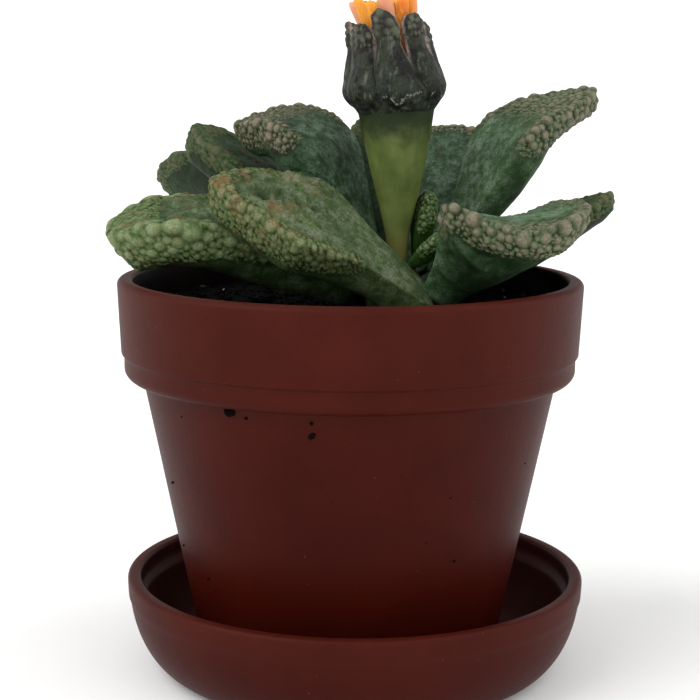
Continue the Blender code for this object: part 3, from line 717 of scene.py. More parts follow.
def applied(piece):
    # the piece with its modifiers worked into its mesh
    graph = bpy.context.evaluated_depsgraph_get()
    mesh = bpy.data.meshes.new_from_object(piece.evaluated_get(graph))
    piece.modifiers.clear()
    piece.data = mesh
    return piece


def potWallRadius(z):
    # the tapering wall's outer radius, from the foot's to wallTop under the band
    f = potForm
    bandFoot = potTop - f["collar"] - f["band"]
    return f["foot"] + (f["wallTop"] - f["foot"]) * (z - potFoot) / (bandFoot - potFoot)


def potPiece():
    # foot, tapering wall, rounded band, collar and rolled rim, then down the inside; drain holes cut through
    f = potForm
    collarFoot = potTop - f["collar"]
    bandFoot = collarFoot - f["band"]
    floor = potFoot + f["wall"]
    inner = potRadius - f["face"]
    collar = potRadius - f["taper"]
    band = collar - f["step"]
    profile = underside(f, potFoot)
    r = f["footRound"]
    profile += arcPoints(f["foot"] - r, potFoot + r, r, -90, -8, 6)
    profile += [(potWallRadius(bandFoot - 0.5), bandFoot - 0.5)]
    r = f["fillet"]
    profile += arcPoints(f["wallTop"] + r, bandFoot - r, r, 170, 90, 4)
    r = f["bandRound"]
    profile += arcPoints(band - r, bandFoot + r, r, -90, 0, 9)
    profile += [(band, collarFoot - 0.15), (band + 0.08, collarFoot)]
    r = f["collarRound"]
    profile += arcPoints(collar - r, collarFoot + r, r, -60, 0, 5)
    r = f["round"]
    profile += arcPoints(potRadius - r, potTop - r, r, 4, 90, 9)
    r = f["rimRound"]
    profile += arcPoints(inner + r, potTop - r, r, 90, 180, 6)
    profile += [(inner - f["innerTaper"], collarFoot), (potWallRadius(bandFoot) - f["wall"], bandFoot)]
    r = f["floorRound"]
    profile += arcPoints(potWallRadius(floor) - f["wall"] - r, floor + r, r, 0, -90, 6)
    profile += [(0.8, floor)]
    pot = turnedPiece("moulded_pot", profile, f, potAxis, 3)
    for k in range(f["drains"]):
        turn = 2 * math.pi * (k + 0.5) / f["drains"]
        middle = potAxis + f["drainCircle"] * np.array([math.cos(turn), math.sin(turn)])
        pin = turnedGrid([(f["drain"], potFoot - 1), (f["drain"], floor + 1)], 40, middle)
        cutter = closedGrid("drain", pin, (*middle, potFoot - 1), (*middle, floor + 1))
        hole = pot.modifiers.new("drain", "BOOLEAN")
        hole.operation, hole.object, hole.solver = "DIFFERENCE", cutter, "EXACT"
        applied(pot)
        bpy.data.objects.remove(cutter)
    pot.data.shade_smooth()
    return pot


def saucerPiece():
    # an elliptic wall with a crease under a round lip, and inside it a ledge and the floor
    f = saucerForm
    side = saucerTop - f["lip"]

    def wall(inset, steps):
        # a quarter of an ellipse, from the foot up to the lip
        turns = np.linspace(math.pi / 2, 0, steps + 1)
        wide = saucerRadius - f["foot"]
        x = f["foot"] - inset * 0.4 + (wide - inset * 0.6) * np.cos(turns)
        z = side - (side - inset) * np.sin(turns)
        if not inset:
            x -= f["crease"] * (1 - smoothStep((z - side + f["creaseDrop"]) / 0.25))
        return list(zip(x, z))

    inner, ledge = saucerRadius - f["wall"], saucerTop - f["ledgeDrop"]
    profile = underside(f, 0.0) + wall(0.0, 36)
    profile += arcPoints(saucerRadius - f["lip"], side, f["lip"], 8, 90, 6)
    profile += arcPoints(inner + f["lip"], side, f["lip"], 98, 180, 6)
    profile += [(inner, ledge + 0.15), (inner - 0.12, ledge), (inner - f["ledge"], ledge - 0.05)]
    profile += [(x - f["ledge"], max(z, f["floor"])) for x, z in wall(f["wall"], 22)[::-1] if z < ledge - 0.4]
    profile += [(0.8, f["floor"])]
    return turnedPiece("moulded_saucer", profile, f, (0.0, 0.0), 5)


# dirt is the colour of the dark specks, and also of the painted shade on the pot's inner wall
plasticLook = dict(brown=(62, 20, 13), deep=(52, 16, 10), dust=(108, 56, 44), dirt=(20, 15, 13))
# the heights between which dust sets in, and its strength. The pot's inner wall is darkened by painted shade:
# within this radius and above this height
potDustAndShade = dict(dustFrom=24, dustTo=46, strength=0.13, inside=(25.95, 38.5))
saucerDust = dict(dustFrom=4, dustTo=12, strength=0.12)


def plasticFinish(name, dustFrom, dustTo, strength, inside=None):
    # red-brown plastic: mottled, dusty towards the top, with pale specks, a few dark ones of dirt and painted
    # shade on the pot's inner wall
    look = {key: seen(*value) for key, value in plasticLook.items()}
    plastic = Finish(name, Specular_IOR_Level=0.07)
    height = addNode(plastic.tree, "ShaderNodeSeparateXYZ", {}, [plastic.place], out=2)
    cloud, grain = plastic.noise(9, 4, 0.6), plastic.noise(0.5, 3, 0.7)
    colour = plastic.blend(cloud.between(0.1, 0.9), look["deep"], look["brown"])
    streak = plastic.noise(1.4, 3, 0.6, place=plastic.stretched((1, 1, 0.12)))
    dusty = height.between(dustFrom * mm, dustTo * mm) * (0.35 + cloud * 0.9) * strength
    dusty = dusty + streak.between(0.55, 0.8) * 0.1 * strength
    colour = plastic.blend(dusty * (0.7 + grain * 0.6), colour, look["dust"])
    pale = (1 - plastic.cells(1.9).between(0.035, 0.07)) * plastic.noise(5, 2).between(0.45, 0.6)
    colour = plastic.blend(pale * 0.6, colour, look["dust"])
    specks = (1 - plastic.cells(1.3).between(0.06, 0.12)) * plastic.noise(8, 3).between(0.5, 0.6)
    colour = plastic.blend(specks * 0.6, colour, look["dirt"])
    if inside:
        # painted shade on the pot's inner wall, in the dirt colour
        innerShade = insideWall(plastic, *inside) * (0.7 + cloud * 0.5)
        colour = plastic.blend(innerShade, colour, look["dirt"])
    plastic.feed("Base Color", colour)
    plastic.feed("Roughness", 0.38 + dusty * 0.5 + grain * 0.14)
    plastic.relief(grain * 0.5 + plastic.noise(2.5, 2) * 0.8 + pale * 0.5, 0.06, 0.6)
    return plastic.material


def insideWall(finish, radius, foot):
    # 1 on the pot's inner wall above foot, 0 outside it: within radius of the pot's axis
    way = [addNode(finish.tree, "ShaderNodeSeparateXYZ", {}, [finish.place], out=k) for k in range(3)]
    away = ((way[0] - potAxis[0] * mm) ** 2 + (way[1] - potAxis[1] * mm) ** 2) ** 0.5
    within = 1 - away.between((radius - 0.25) * mm, radius * mm)
    return within * way[2].between((foot - 1) * mm, foot * mm)


def dressPlastic():
    # the pot and the saucer, each with its own share of dust, the pot also with painted shade inside
    pot, saucer = potPiece(), saucerPiece()
    pot.data.materials.append(plasticFinish("pot plastic", **potDustAndShade))
    saucer.data.materials.append(plasticFinish("saucer plastic", **saucerDust))
    for piece, node, slot in ((pot, "pot", "pot_plastic"), (saucer, "saucer", "saucer_plastic")):
        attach(piece, "root")
        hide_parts(node)
        print(node, len(piece.data.polygons), "faces")


dirtForm = dict(
    # turn, height and size of the large crumbs under the band, then the small ones' number and heights
    large=((238.4, 34.9, 0.62), (243, 34.4, 0.3), (260.5, 34.4, 0.36), (260.5, 33.0, 0.42)),
    count=26, low=5, high=36, small=(0.08, 0.2),
)


def dressDirt():
    # crumbs of soil that stick to the pot's wall, flattened against it
    f = dirtForm
    draw = np.random.default_rng(17)
    turn = np.radians(np.concatenate([[spot[0] for spot in f["large"]], draw.uniform(0, 360, f["count"])]))
    z = np.concatenate([[spot[1] for spot in f["large"]], draw.uniform(f["low"], f["high"], f["count"])])
    sizes = np.concatenate([[spot[2] for spot in f["large"]], draw.uniform(*f["small"], f["count"])])
    wall = potWallRadius(np.minimum(z, potTop - potForm["collar"] - potForm["band"] - 0.5)) + 0.02
    centres = np.stack([potAxis[0] + wall * np.cos(turn), potAxis[1] + wall * np.sin(turn), z], -1)
    dirt = scatteredLumps("stuck_dirt", centres, sizes, 0.9, 18)
    dirt.data.materials.append(earthFinish("stuck dirt", (10, 8, 7), (30, 23, 18)))
    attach(dirt, "root")


# soil: a lumpy top between the crown's hole and the pot's wall, with crumbs, grit and root ends

soilForm = dict(
    # the surface: how far its middle level lies under the top, heights and sizes of its lumps and its crumbs,
    # and how much it is banked up from a share of the radius on
    sink=0.6, lump=0.55, lumpSize=6.5, crumb=0.3, crumbGrain=1.6, bank=0.5, banked=0.86, bankWide=0.14,
    # radius and foot of the crown's hole, the gap at the wall, the foot's chamfer, then the mesh
    hole=3.9, holeFoot=38.8, inset=0.45, chamfer=1.2, sides=288, rings=74, wallRings=12,
    # loose crumbs and grit: number and sizes, and how far from the pot's axis the grit lies
    crumbs=1500, crumbSize=(0.16, 0.32), grit=34, gritSize=(0.14, 0.36), gritRing=(20.5, 24.6),
    # root ends: a row of them at the front left, and (x, y, turn) of the others
    rootRow=6, roots=((12, -15, 0.2), (16, -9, 1.9), (-19, -4, 4.2)), rootRadius=(0.09, 0.17),
    rootLength=(3.0, 6.0), rootBend=0.7,
)
soilTop = highOf("soil")[2] - soilForm["sink"]
soilFoot = lowOf("soil")[2]


def soilHeight(x, y):
    # rolling lumps with finer crumbs on them, banked up a little against the pot's wall
    f = soilForm
    points = np.stack([x, y, np.zeros_like(x)], -1)
    away = np.hypot(x - potAxis[0], y - potAxis[1]) / (potRadius - potForm["face"])
    rough = f["crumb"] * rollingNoise(points, f["crumbGrain"], 21, 3)
    banked = f["bank"] * smoothStep((away - f["banked"]) / f["bankWide"])
    return soilTop + f["lump"] * rollingNoise(points, f["lumpSize"], 20, 2) + rough + banked


def soilPiece():
    # rings up the pot's wall, then inwards over the surface to the crown's hole, and down into it
    f = soilForm
    turn = np.arange(f["sides"]) * 2 * math.pi / f["sides"]
    around = np.stack([np.cos(turn), np.sin(turn)], -1)
    edge = potRadius - potForm["face"] - potForm["innerTaper"] - f["inset"] + 0.1
    rows = []
    levels = np.linspace(soilFoot + f["chamfer"], soilTop - 2.5, f["wallRings"])
    for z in np.concatenate([[soilFoot], levels]):
        radius = min(edge, potWallRadius(z) - potForm["wall"] - f["inset"])
        radius -= f["chamfer"] if z == soilFoot else 0
        rows.append(np.concatenate([potAxis + around * radius, np.full((len(turn), 1), z)], 1))
    for share in np.linspace(0, 1, f["rings"]):
        outer, hole = potAxis + around * edge, crownAxis + around * f["hole"]
        flat = outer + (hole - outer) * share
        rows.append(np.concatenate([flat, soilHeight(flat[:, 0], flat[:, 1])[:, None]], 1))
    for z in (soilTop - 2, f["holeFoot"]):
        rows.append(np.concatenate([crownAxis + around * f["hole"], np.full((len(turn), 1), z)], 1))
    start, end = (*potAxis, soilFoot), (*crownAxis, f["holeFoot"])
    return closedGrid("peat", np.array(rows), start, end)


def scatteredLumps(name, centres, sizes, flatness, seed):
    # one small faceted lump of 24 faces, turned, stretched and dented anew for each centre
    draw = np.random.default_rng(seed)
    turns = np.arange(6) * math.pi / 3
    rings = [(0.78, -0.62), (1.0, 0.0), (0.74, 0.64)]
    unit = []
    for k, (r, z) in enumerate(rings):
        unit += [(r * math.cos(t + k * 0.5), r * math.sin(t + k * 0.5), z) for t in turns]
    unit = np.array(unit + [(0, 0, -1), (0, 0, 1)])
    count, corners = len(centres), len(unit)
    q = draw.normal(size=(count, 4))
    q /= np.linalg.norm(q, axis=1, keepdims=True)
    w, x, y, z = q.T
    turned = np.array([
        [1 - 2 * (y * y + z * z), 2 * (x * y - z * w), 2 * (x * z + y * w)],
        [2 * (x * y + z * w), 1 - 2 * (x * x + z * z), 2 * (y * z - x * w)],
        [2 * (x * z - y * w), 2 * (y * z + x * w), 1 - 2 * (x * x + y * y)],
    ]).transpose(2, 0, 1)
    stretch = draw.uniform(0.6, 1.3, (count, 1, 3))
    own = unit[None] * draw.uniform(0.75, 1.2, (count, corners, 1)) * stretch * sizes[:, None, None]
    points = np.einsum("nij,ncj->nci", turned, own)
    points[..., 2] *= flatness
    points += centres[:, None]
    faces = closedFaces(len(rings), len(turns), 0)
    every = [tuple(corners * n + v for v in face) for n in range(count) for face in faces]
    tint = np.repeat(draw.random(count), corners)
    return makePiece(name, points.reshape(-1, 3), every, dict(tint=tint))


def soilPlaces(count, seed, inside=4.6, outside=25.0):
    # even places over the soil between the crown and the wall
    draw = np.random.default_rng(seed)
    turn = draw.uniform(0, 2 * math.pi, count * 2)
    away = np.sqrt(draw.uniform(0, 1, count * 2)) * outside
    x, y = potAxis[0] + away * np.cos(turn), potAxis[1] + away * np.sin(turn)
    free = np.hypot(x - crownAxis[0], y - crownAxis[1]) > inside
    x, y = x[free][:count], y[free][:count]
    return np.stack([x, y, soilHeight(x, y)], -1)


def thinTube(path, radius, sides=7, thin=0.4):
    # a grid of rings along the path, whose radius falls evenly to the share thin at its end
    way = np.gradient(path, axis=0)
    way /= np.linalg.norm(way, axis=1, keepdims=True)
    across = np.cross(way, (0.3, 0.2, 1.0))
    across /= np.linalg.norm(across, axis=1, keepdims=True)
    up = np.cross(way, across)
    turn = np.arange(sides) * 2 * math.pi / sides
    wide = radius * np.linspace(1, thin, len(path))
    ring = across[:, None] * np.cos(turn)[:, None] + up[:, None] * np.sin(turn)[:, None]
    return path[:, None] - ring * wide[:, None, None]


def rootEnds(places, seed):
    # short dry roots that wander over the soil
    draw = np.random.default_rng(seed)
    parts = []
    for x, y, turn in places:
        reach = draw.uniform(*soilForm["rootLength"])
        path = [(x, y)]
        for _ in range(5):
            turn += draw.uniform(-soilForm["rootBend"], soilForm["rootBend"])
            x, y = x + reach / 5 * math.cos(turn), y + reach / 5 * math.sin(turn)
            path.append((x, y))
        flat = curvePoints(path, 22)
        lift = 0.12 + 0.5 * np.sin(np.linspace(0, math.pi, 22)) * draw.uniform(0.1, 0.9)
        line = np.concatenate([flat, (soilHeight(flat[:, 0], flat[:, 1]) + lift)[:, None]], 1)
        parts.append((thinTube(line, draw.uniform(*soilForm["rootRadius"])), line[0], line[-1], {}))
    return joinedPiece("root_ends", parts)


def earthFinish(name, dark, light, rough=0.95):
    # dull earth, grit or bark: a blend of two shades by a patchy noise, with a rough relief
    earth = Finish(name, Roughness=rough, Specular_IOR_Level=0.06)
    patch, fine = earth.noise(2.2, 4, 0.65), earth.noise(0.35, 3, 0.7)
    colour = earth.blend(patch.between(0.35, 0.75) * 0.6 + fine * 0.25, seen(*dark), seen(*light))
    earth.feed("Base Color", colour)
    earth.relief(fine + patch, 0.15, 0.9)
    return earth.material


def crumbFinish():
    # each crumb has its own shade of dark peat or brown fibre
    earth = Finish("crumbs", Roughness=0.95, Specular_IOR_Level=0.06)
    own = earth.own("tint")
    colour = earth.blend(own.between(0.3, 1.0), seen(3, 3, 3), seen(20, 16, 12))
    colour = earth.blend(own.between(0.94, 0.98) * 0.7, colour, seen(88, 66, 46))
    earth.feed("Base Color", colour)
    earth.relief(earth.noise(0.3, 3, 0.7), 0.08, 0.9)
    return earth.material


def dressSoil():
    # the body of peat, and loose on it crumbs, grit and root ends
    f = soilForm
    peat = soilPiece()
    peat.data.materials.append(earthFinish("peat", (3, 3, 2), (10, 8, 7)))
    draw = np.random.default_rng(31)
    places = soilPlaces(f["crumbs"], 32)
    sizes = draw.uniform(*f["crumbSize"], len(places)) + 0.5 * draw.random(len(places)) ** 6
    crumbs = scatteredLumps("crumbs", places, sizes, 0.85, 33)
    crumbs.data.materials.append(crumbFinish())
    half = f["grit"] // 2  # this many at the front left, the rest all round
    turn = np.concatenate([draw.uniform(3.0, 4.1, half), draw.uniform(0, 6.3, f["grit"] - half)])
    away = draw.uniform(*f["gritRing"], f["grit"])
    x, y = potAxis[0] + away * np.cos(turn), potAxis[1] + away * np.sin(turn)
    grains = np.stack([x, y, soilHeight(x, y) + 0.2], -1)
    grit = scatteredLumps("white_grit", grains, draw.uniform(*f["gritSize"], f["grit"]), 0.9, 34)
    grit.data.materials.append(earthFinish("grit", (150, 144, 134), (206, 202, 194), 0.8))
    ends = [(-11 + 1.7 * k, -17 - 0.5 * (k % 3), 0.4 + 2.2 * k) for k in range(f["rootRow"])]
    roots = rootEnds(ends + list(f["roots"]), 35)
    roots.data.materials.append(earthFinish("root", (70, 52, 38), (128, 104, 78), 0.8))
    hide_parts("soil")
    for piece in (peat, crumbs, grit, roots):
        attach(piece, "root")
        print(piece.name, len(piece.data.polygons), "faces")


# the crown and the flower's stalk

stalkForm = dict(
    # (height over its foot, radius), the height that shows, and how far its top leans along X
    outline=(
        (0.0, 1.1), (1.2, 1.2), (3.2, 1.45), (5.5, 1.9), (8.0, 2.5), (11.2, 3.25), (14.2, 3.85), (16.6, 4.25),
        (17.6, 4.45),
    ),
    visible=17, lean=-0.4,
    # heights of its six ribs and of its unevenness and that one's size, then the mesh
    rib=0.05, uneven=0.07, unevenSize=3.5, sides=96, rows=120,
)
crownForm = dict(
    # (way in from its radius, height over its foot) low down, the same with heights of the frame at the
    # shoulder, the (radius, height) of its neck, and the radius of its middle at the foot and the top
    low=((0.8, 0.3), (0, 1.6)), shoulder=((0, 46.3), (0.5, 47.3)), neck=(2.3, 48.4), middle=(1.4, 1.2),
    bark=0.16, barkSize=1.8, sides=72,
)
stalkFoot = lowOf("flower_stalk")[2]


def stalkPiece():
    # a cone of round sections that widens upwards, with faint ribs, leaning a little to the left
    f = stalkForm
    line = curvePoints(f["outline"], f["rows"])
    grid = turnedGrid([(r, stalkFoot + h) for h, r in line], f["sides"], stalkAxis)
    share = (grid[..., 2] - stalkFoot) / f["visible"]
    turn = np.arange(f["sides"]) * 2 * math.pi / f["sides"]
    swell = f["rib"] * np.cos(6 * turn + 0.6)[None, :] * share
    swell = swell + f["uneven"] * rollingNoise(grid, f["unevenSize"], 61, 2)
    grid = grid + gridNormals(grid) * swell[..., None]
    grid[..., 0] += f["lean"] * share**2
    foot, head = grid[0].mean(0), grid[-1].mean(0)
    return closedGrid("stalk_skin", grid, foot, head, dict(along=share))


def crownPiece():
    # a short uneven stump, wrapped by the leaf roots
    f = crownForm
    top = highOf("crown")[2] - 0.05
    foot = lowOf("crown")[2]
    radius = (highOf("crown")[0] - lowOf("crown")[0]) / 2 - 0.1
    outline = [(f["middle"][0], foot)] + [(radius - inset, foot + high) for inset, high in f["low"]]
    outline += [(radius - inset, high) for inset, high in f["shoulder"]] + [f["neck"], (f["middle"][1], top)]
    grid = turnedGrid(evenProfile(outline, 0.25), f["sides"], crownAxis)
    bark = f["bark"] * rollingNoise(grid, f["barkSize"], 71) - 0.08
    grid = grid + gridNormals(grid) * bark[..., None]
    return closedGrid("crown_stump", grid, (*crownAxis, foot), (*crownAxis, top))


def dressStem():
    # the stalk is olive with pale streaks, brownish at its foot and mottled dark under the calyx
    stalk, crown = stalkPiece(), crownPiece()
    green = tissueFinish("stalk skin", 0.16, 0.05, (0.6, 1.0, 0.3), 1.0)
    along, streak = green.own("along"), green.noise(1.1, 3, 0.6, place=green.stretched((1, 1, 0.14)))
    patch = green.noise(3.0, 3)
    colour = green.blend(patch.between(0.3, 0.7), seen(74, 88, 42), seen(96, 106, 58))
    colour = green.blend(streak.between(0.45, 0.8) * 0.45, colour, seen(110, 116, 74))
    colour = green.blend((1 - along).between(0.72, 0.98) * 0.55, colour, seen(112, 98, 56))
    uneven = along + green.noise(1.6, 4, 0.65) * 0.3
    colour = green.blend(uneven.between(0.86, 1.12) * 0.95, colour, seen(32, 42, 23))
    freckles = (1 - green.cells(0.9).between(0.04, 0.09)) * 0.35
    colour = green.blend(freckles, colour, seen(60, 66, 40))
    green.feed("Base Color", colour)
    green.feed("Roughness", 0.42 + patch * 0.2)
    green.relief(streak + green.noise(0.3, 3, 0.7) * 0.5, 0.06, 0.6)
    stalk.data.materials.append(green.material)
    crown.data.materials.append(earthFinish("crown skin", (34, 36, 24), (84, 88, 58), 0.8))
    for piece, node, slot in ((stalk, "flower_stalk", "stalk_tissue"), (crown, "crown", "crown_tissue")):
        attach(piece, "root")
        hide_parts(node)


# the calyx: a cup with six thick sepals, leaning to the left, and the closed petals in it

calyxForm = dict(
    # the foot's height and shift from the stalk's axis, the lean about it, and the bow to the left: times the
    # square of the height past 3
    foot=66.5, shift=-0.35, lean=math.radians(-4.0), bow=-0.009,
    # (height, radius) over the foot: of the cup, then of the sepals' outer and inner side
    cup=((-0.6, 3.9), (-0.1, 4.25), (0.4, 4.6), (1.0, 4.95), (1.9, 5.25), (3.2, 5.3), (4.6, 5.0), (5.6, 4.4)),
    outer=(
        (-0.3, 4.2), (0.4, 4.65), (1.2, 5.4), (2.2, 5.95), (3.2, 6.05), (4.4, 5.85), (5.8, 5.4), (8.0, 4.95),
        (10.0, 4.7), (12.0, 4.6),
    ),
    inner=((-0.3, 3.0), (4.0, 3.7), (9.0, 3.6), (12.0, 3.9)),
    # the sepals' foot and half their width there, then the mesh
    sepalFoot=0.15, base=3.9, rows=92, sides=52,
    # heights of the sepals' furrows and folds and of the cup's unevenness, and rounds of the sepals' warts
    furrow=0.14, fold=0.34, uneven=0.14, rounds=((1.0, 14), (0.75, 24), (0.5, 30)),
)
sepals = (
    # turn, and the tip's turn from it, the tip's height and half width, step outwards, size of the warts
    dict(turn=284, twist=-20, tip=11.6, half=1.75, step=0.4, size=0.56),
    dict(turn=338, twist=-26, tip=11.0, half=1.7, step=0.1, size=0.34),
    dict(turn=22, twist=4, tip=10.2, half=1.6, step=0.2, size=0.36),
    dict(turn=90, twist=0, tip=9.9, half=1.7, step=0.05, size=0.36),
    dict(turn=155, twist=5, tip=10.5, half=1.8, step=0.2, size=0.36),
    dict(turn=214, twist=8, tip=10.2, half=1.9, step=0.1, size=0.34),
)


def calyxPlace(points):
    # from the calyx's own axis, foot at 0, to the frame: leaned about its foot and bowed to the left
    c, s = math.cos(calyxForm["lean"]), math.sin(calyxForm["lean"])
    x, y, z = points[..., 0], points[..., 1], points[..., 2]
    x = x + calyxForm["bow"] * np.clip(z - 3, 0, None) ** 2
    aside = stalkAxis[0] + calyxForm["shift"] + x * c + z * s
    return np.stack([aside, stalkAxis[1] + y, calyxForm["foot"] - x * s + z * c], -1)


def readCurve(pairs, height):
    # the radius at a height of a smooth line through (height, radius) pairs
    line = curvePoints(pairs, 160)
    return np.interp(height, line[:, 0], line[:, 1])


def sepalSurface(own, t, turn):
    # a thick tongue: t runs from its foot to its tip, turn once round its section, outwards at a quarter turn
    f = calyxForm
    height = f["sepalFoot"] + (own["tip"] - f["sepalFoot"]) * t
    closing = np.sqrt(np.clip(1 - (np.clip(t - 0.82, 0, 1) / 0.18) ** 2.2, 0, 1))
    opening = 0.45 + 0.55 * smoothStep(t / 0.16)
    slim = smoothStep((height - 2.0) / 6.0) * 0.9 + 0.1 * t
    half = (f["base"] + (own["half"] - f["base"]) * slim) * (0.25 + 0.75 * closing) * opening
    outer = readCurve(f["outer"], height) + own["step"]
    inner = readCurve(f["inner"], height) + own["step"] * 0.4
    middle, thick = (outer + inner) / 2, (outer - inner) / 2 * (0.3 + 0.7 * closing)
    c, n = np.cos(turn)[None, :], np.sin(turn)[None, :]
    across = half[:, None] * np.sign(c) * np.abs(c) ** 0.85
    bulge = np.sign(n) * np.abs(n) ** 0.75 * (1 - 0.15 * np.abs(c) ** 3)
    radius = middle[:, None] + thick[:, None] * bulge - 0.5 * np.abs(c) ** 3 * thick[:, None]
    middleTurn = np.radians(own["turn"] + own["twist"] * smoothStep(height / 8))
    angle = middleTurn[:, None] + across / outer[:, None]
    height = np.broadcast_to(height[:, None], angle.shape)
    return np.stack([radius * np.cos(angle), radius * np.sin(angle), height], -1)


def scarValues(grid, height):
    # a wavering line across the front at the height, and the nearness of the calyx's foot
    scar = np.exp(-(((grid[..., 2] - height - 0.9 * latticeNoise(grid, 1.1, 77)) / 0.2) ** 2))
    front = np.cos(np.arctan2(grid[..., 1], grid[..., 0]) - math.radians(300))
    return dict(scar=scar * smoothStep((front - 0.45) / 0.3), low=1 - smoothStep((grid[..., 2] + 1.0) / 1.8))


def sepalPart(own, seed):
    # one sepal with furrows, folds and a few flat warts near its tip
    f = calyxForm
    t = np.linspace(0, 1, f["rows"] + 1)[1:] ** 0.95 - 0.0004
    turn = np.arange(f["sides"]) * -2 * math.pi / f["sides"]
    grid = sepalSurface(own, t, turn)
    outward = gridNormals(grid)
    c, n = np.cos(turn)[None, :], np.sin(turn)[None, :]
    tip = smoothStep((t - 0.66) / 0.12)[:, None]
    field = own["size"] * tip * smoothStep((n + 0.1) / 0.4) * (0.75 + 0.25 * n)
    centres, sizes, rowsOf = scatterWarts(grid, field, seed, f["rounds"])
    height, share, tint = wartRelief(grid, centres, sizes, rowsOf, seed, rise=0.7, long=1.3)[:3]
    furrow = latticeNoise(grid * (1.0, 1.0, 0.22), 0.9, seed + 5) * f["furrow"] * smoothStep((n + 0.4) / 0.6)
    folds = f["fold"] * rollingNoise(grid * (1, 1, 0.6), 2.4, seed + 7, 3) * (0.3 + 0.7 * (1 - tip))
    moved = grid + outward * (height + furrow + folds)[..., None]
    margin = np.abs(c) ** 6 * smoothStep((n + 0.75) / 0.5) * np.ones_like(height)
    along = np.broadcast_to(t[:, None], height.shape)
    return moved, dict(wart=share, tint=tint, margin=margin, along=along, **scarValues(grid, 1.7))


def cupPart():
    # the cup that the sepals grow from, closed over inside
    f = calyxForm
    outline = [(1.0, -0.5), (3.4, -0.6)] + [(r, h) for h, r in curvePoints(f["cup"], 46)]
    outline += [(3.6, 5.6), (3.4, 4.6), (3.3, 4.0), (1.0, 4.0)]
    grid = turnedGrid(evenProfile(outline, 0.4), 112, (0, 0))
    grid = grid + gridNormals(grid) * (f["uneven"] * rollingNoise(grid, 2.2, 91))[..., None]
    flat = np.zeros(grid.shape[:2])
    return grid, dict(wart=flat, tint=flat, margin=flat, along=flat, **scarValues(grid, 1.6))


def placedPart(grid, values):
    # a part of the flower put in its place, with the middles of its end rings, as joinedPiece takes it
    grid = calyxPlace(grid)
    return grid, grid[0].mean(0), grid[-1].mean(0), values


def calyxFinish():
    # dark green and purple tissue with pale dried margins, grey warts and a torn white scar
    skin = tissueFinish("calyx skin", 0.22, 0.08, (0.5, 0.7, 0.3), 0.8)
    patch, fine = skin.noise(1.8, 4, 0.65), skin.noise(0.3, 4, 0.7)
    streak = skin.noise(0.6, 3, 0.6, place=skin.stretched((1, 1, 0.2)))
    wart, along = skin.own("wart"), skin.own("along")
    colour = skin.blend(patch.between(0.38, 0.62), seen(12, 15, 10), seen(44, 50, 38))
    colour = skin.blend(along.between(0.5, 0.95) * 0.4, colour, seen(58, 46, 48))
    colour = skin.blend(streak.between(0.5, 0.7) * patch.between(0.4, 0.6) * 0.8, colour, seen(92, 98, 86))
    colour = skin.blend(fine.between(0.55, 0.75) * 0.25, colour, seen(104, 104, 96))
    colour = skin.blend(skin.own("low"), colour, seen(32, 41, 24))
    colour = skin.blend(wart.between(0.25, 1.0) * (0.35 + skin.own("tint") * 0.4), colour, seen(96, 104, 82))
    margin = skin.own("margin").between(0.3, 0.85) * fine.between(0.2, 0.6) * 0.9
    colour = skin.blend(margin, colour, seen(160, 144, 136))
    scar = skin.own("scar") * fine.between(0.25, 0.6) * patch.between(0.3, 0.5)
    colour = skin.blend(scar.between(0.4, 0.8) * 0.6, colour, seen(160, 160, 152))
    skin.feed("Base Color", colour)
    skin.feed("Roughness", 0.42 + patch * 0.3)
    skin.relief(streak + fine * 0.5 + skin.noise(0.7, 3) * 1.4 + scar * 0.6, 0.3, 0.9)
    return skin.material


petalRings = (
    # count, radius of the ring at its foot and at its tip, height of the tip, first turn, half the width
    dict(count=12, foot=3.0, tip=3.75, height=13.4, turn=6, half=1.02),
    dict(count=9, foot=2.3, tip=3.0, height=13.1, turn=20, half=0.95),
    dict(count=6, foot=1.5, tip=1.9, height=12.6, turn=33, half=0.85),
)
petalForm = dict(
    # the height that they grow from, half the thickness, how far the edges curl in, how wavy they are across,
    # then the mesh
    foot=4.6, thick=0.24, curl=0.3, ripple=0.05, rows=34, sides=20,
    # (radius, height) of the core that carries them
    core=((1.0, 4.3), (2.7, 4.35), (2.8, 8.4), (1.6, 10.4), (0.6, 10.6)),
)


def petalPart(ring, number, seed):
    # a strip that spreads outwards in its upper half, cupped across, its end blunt and uneven
    f = petalForm
    draw = np.random.default_rng(seed)
    t = np.linspace(0, 1, f["rows"])
    turn = np.arange(f["sides"]) * -2 * math.pi / f["sides"]
    top = ring["height"] - draw.uniform(0.0, 0.6)
    height = f["foot"] + (top - f["foot"]) * t
    radius = ring["foot"] + (ring["tip"] - ring["foot"]) * smoothStep(t * 2 - 1) + draw.uniform(-0.12, 0.12)
    closing = np.sqrt(np.clip(1 - (np.clip(t - 0.93, 0, 1) / 0.07) ** 2, 0.02, 1))
    half = ring["half"] * draw.uniform(0.85, 1.08) * closing * (0.8 + 0.2 * smoothStep(t * 2))
    c, n = np.cos(turn)[None, :], np.sin(turn)[None, :]
    across = half[:, None] * c
    away = radius[:, None] + f["thick"] * closing[:, None] * n - f["curl"] * c**2
    away = away + f["ripple"] * np.sin(5 * c + number)
    middleTurn = math.radians(ring["turn"] + 360 * number / ring["count"]) + draw.uniform(-0.06, 0.06)
    angle = middleTurn + across / radius[:, None]
    height = np.broadcast_to(height[:, None], angle.shape)
    grid = np.stack([away * np.cos(angle), away * np.sin(angle), height], -1)
    flat = np.ones(grid.shape[:2])
    tint = 0.9 if number % 3 == 0 else draw.uniform(0, 0.6)
    return grid, dict(tint=flat * tint, along=flat * t[:, None], side=flat * c)


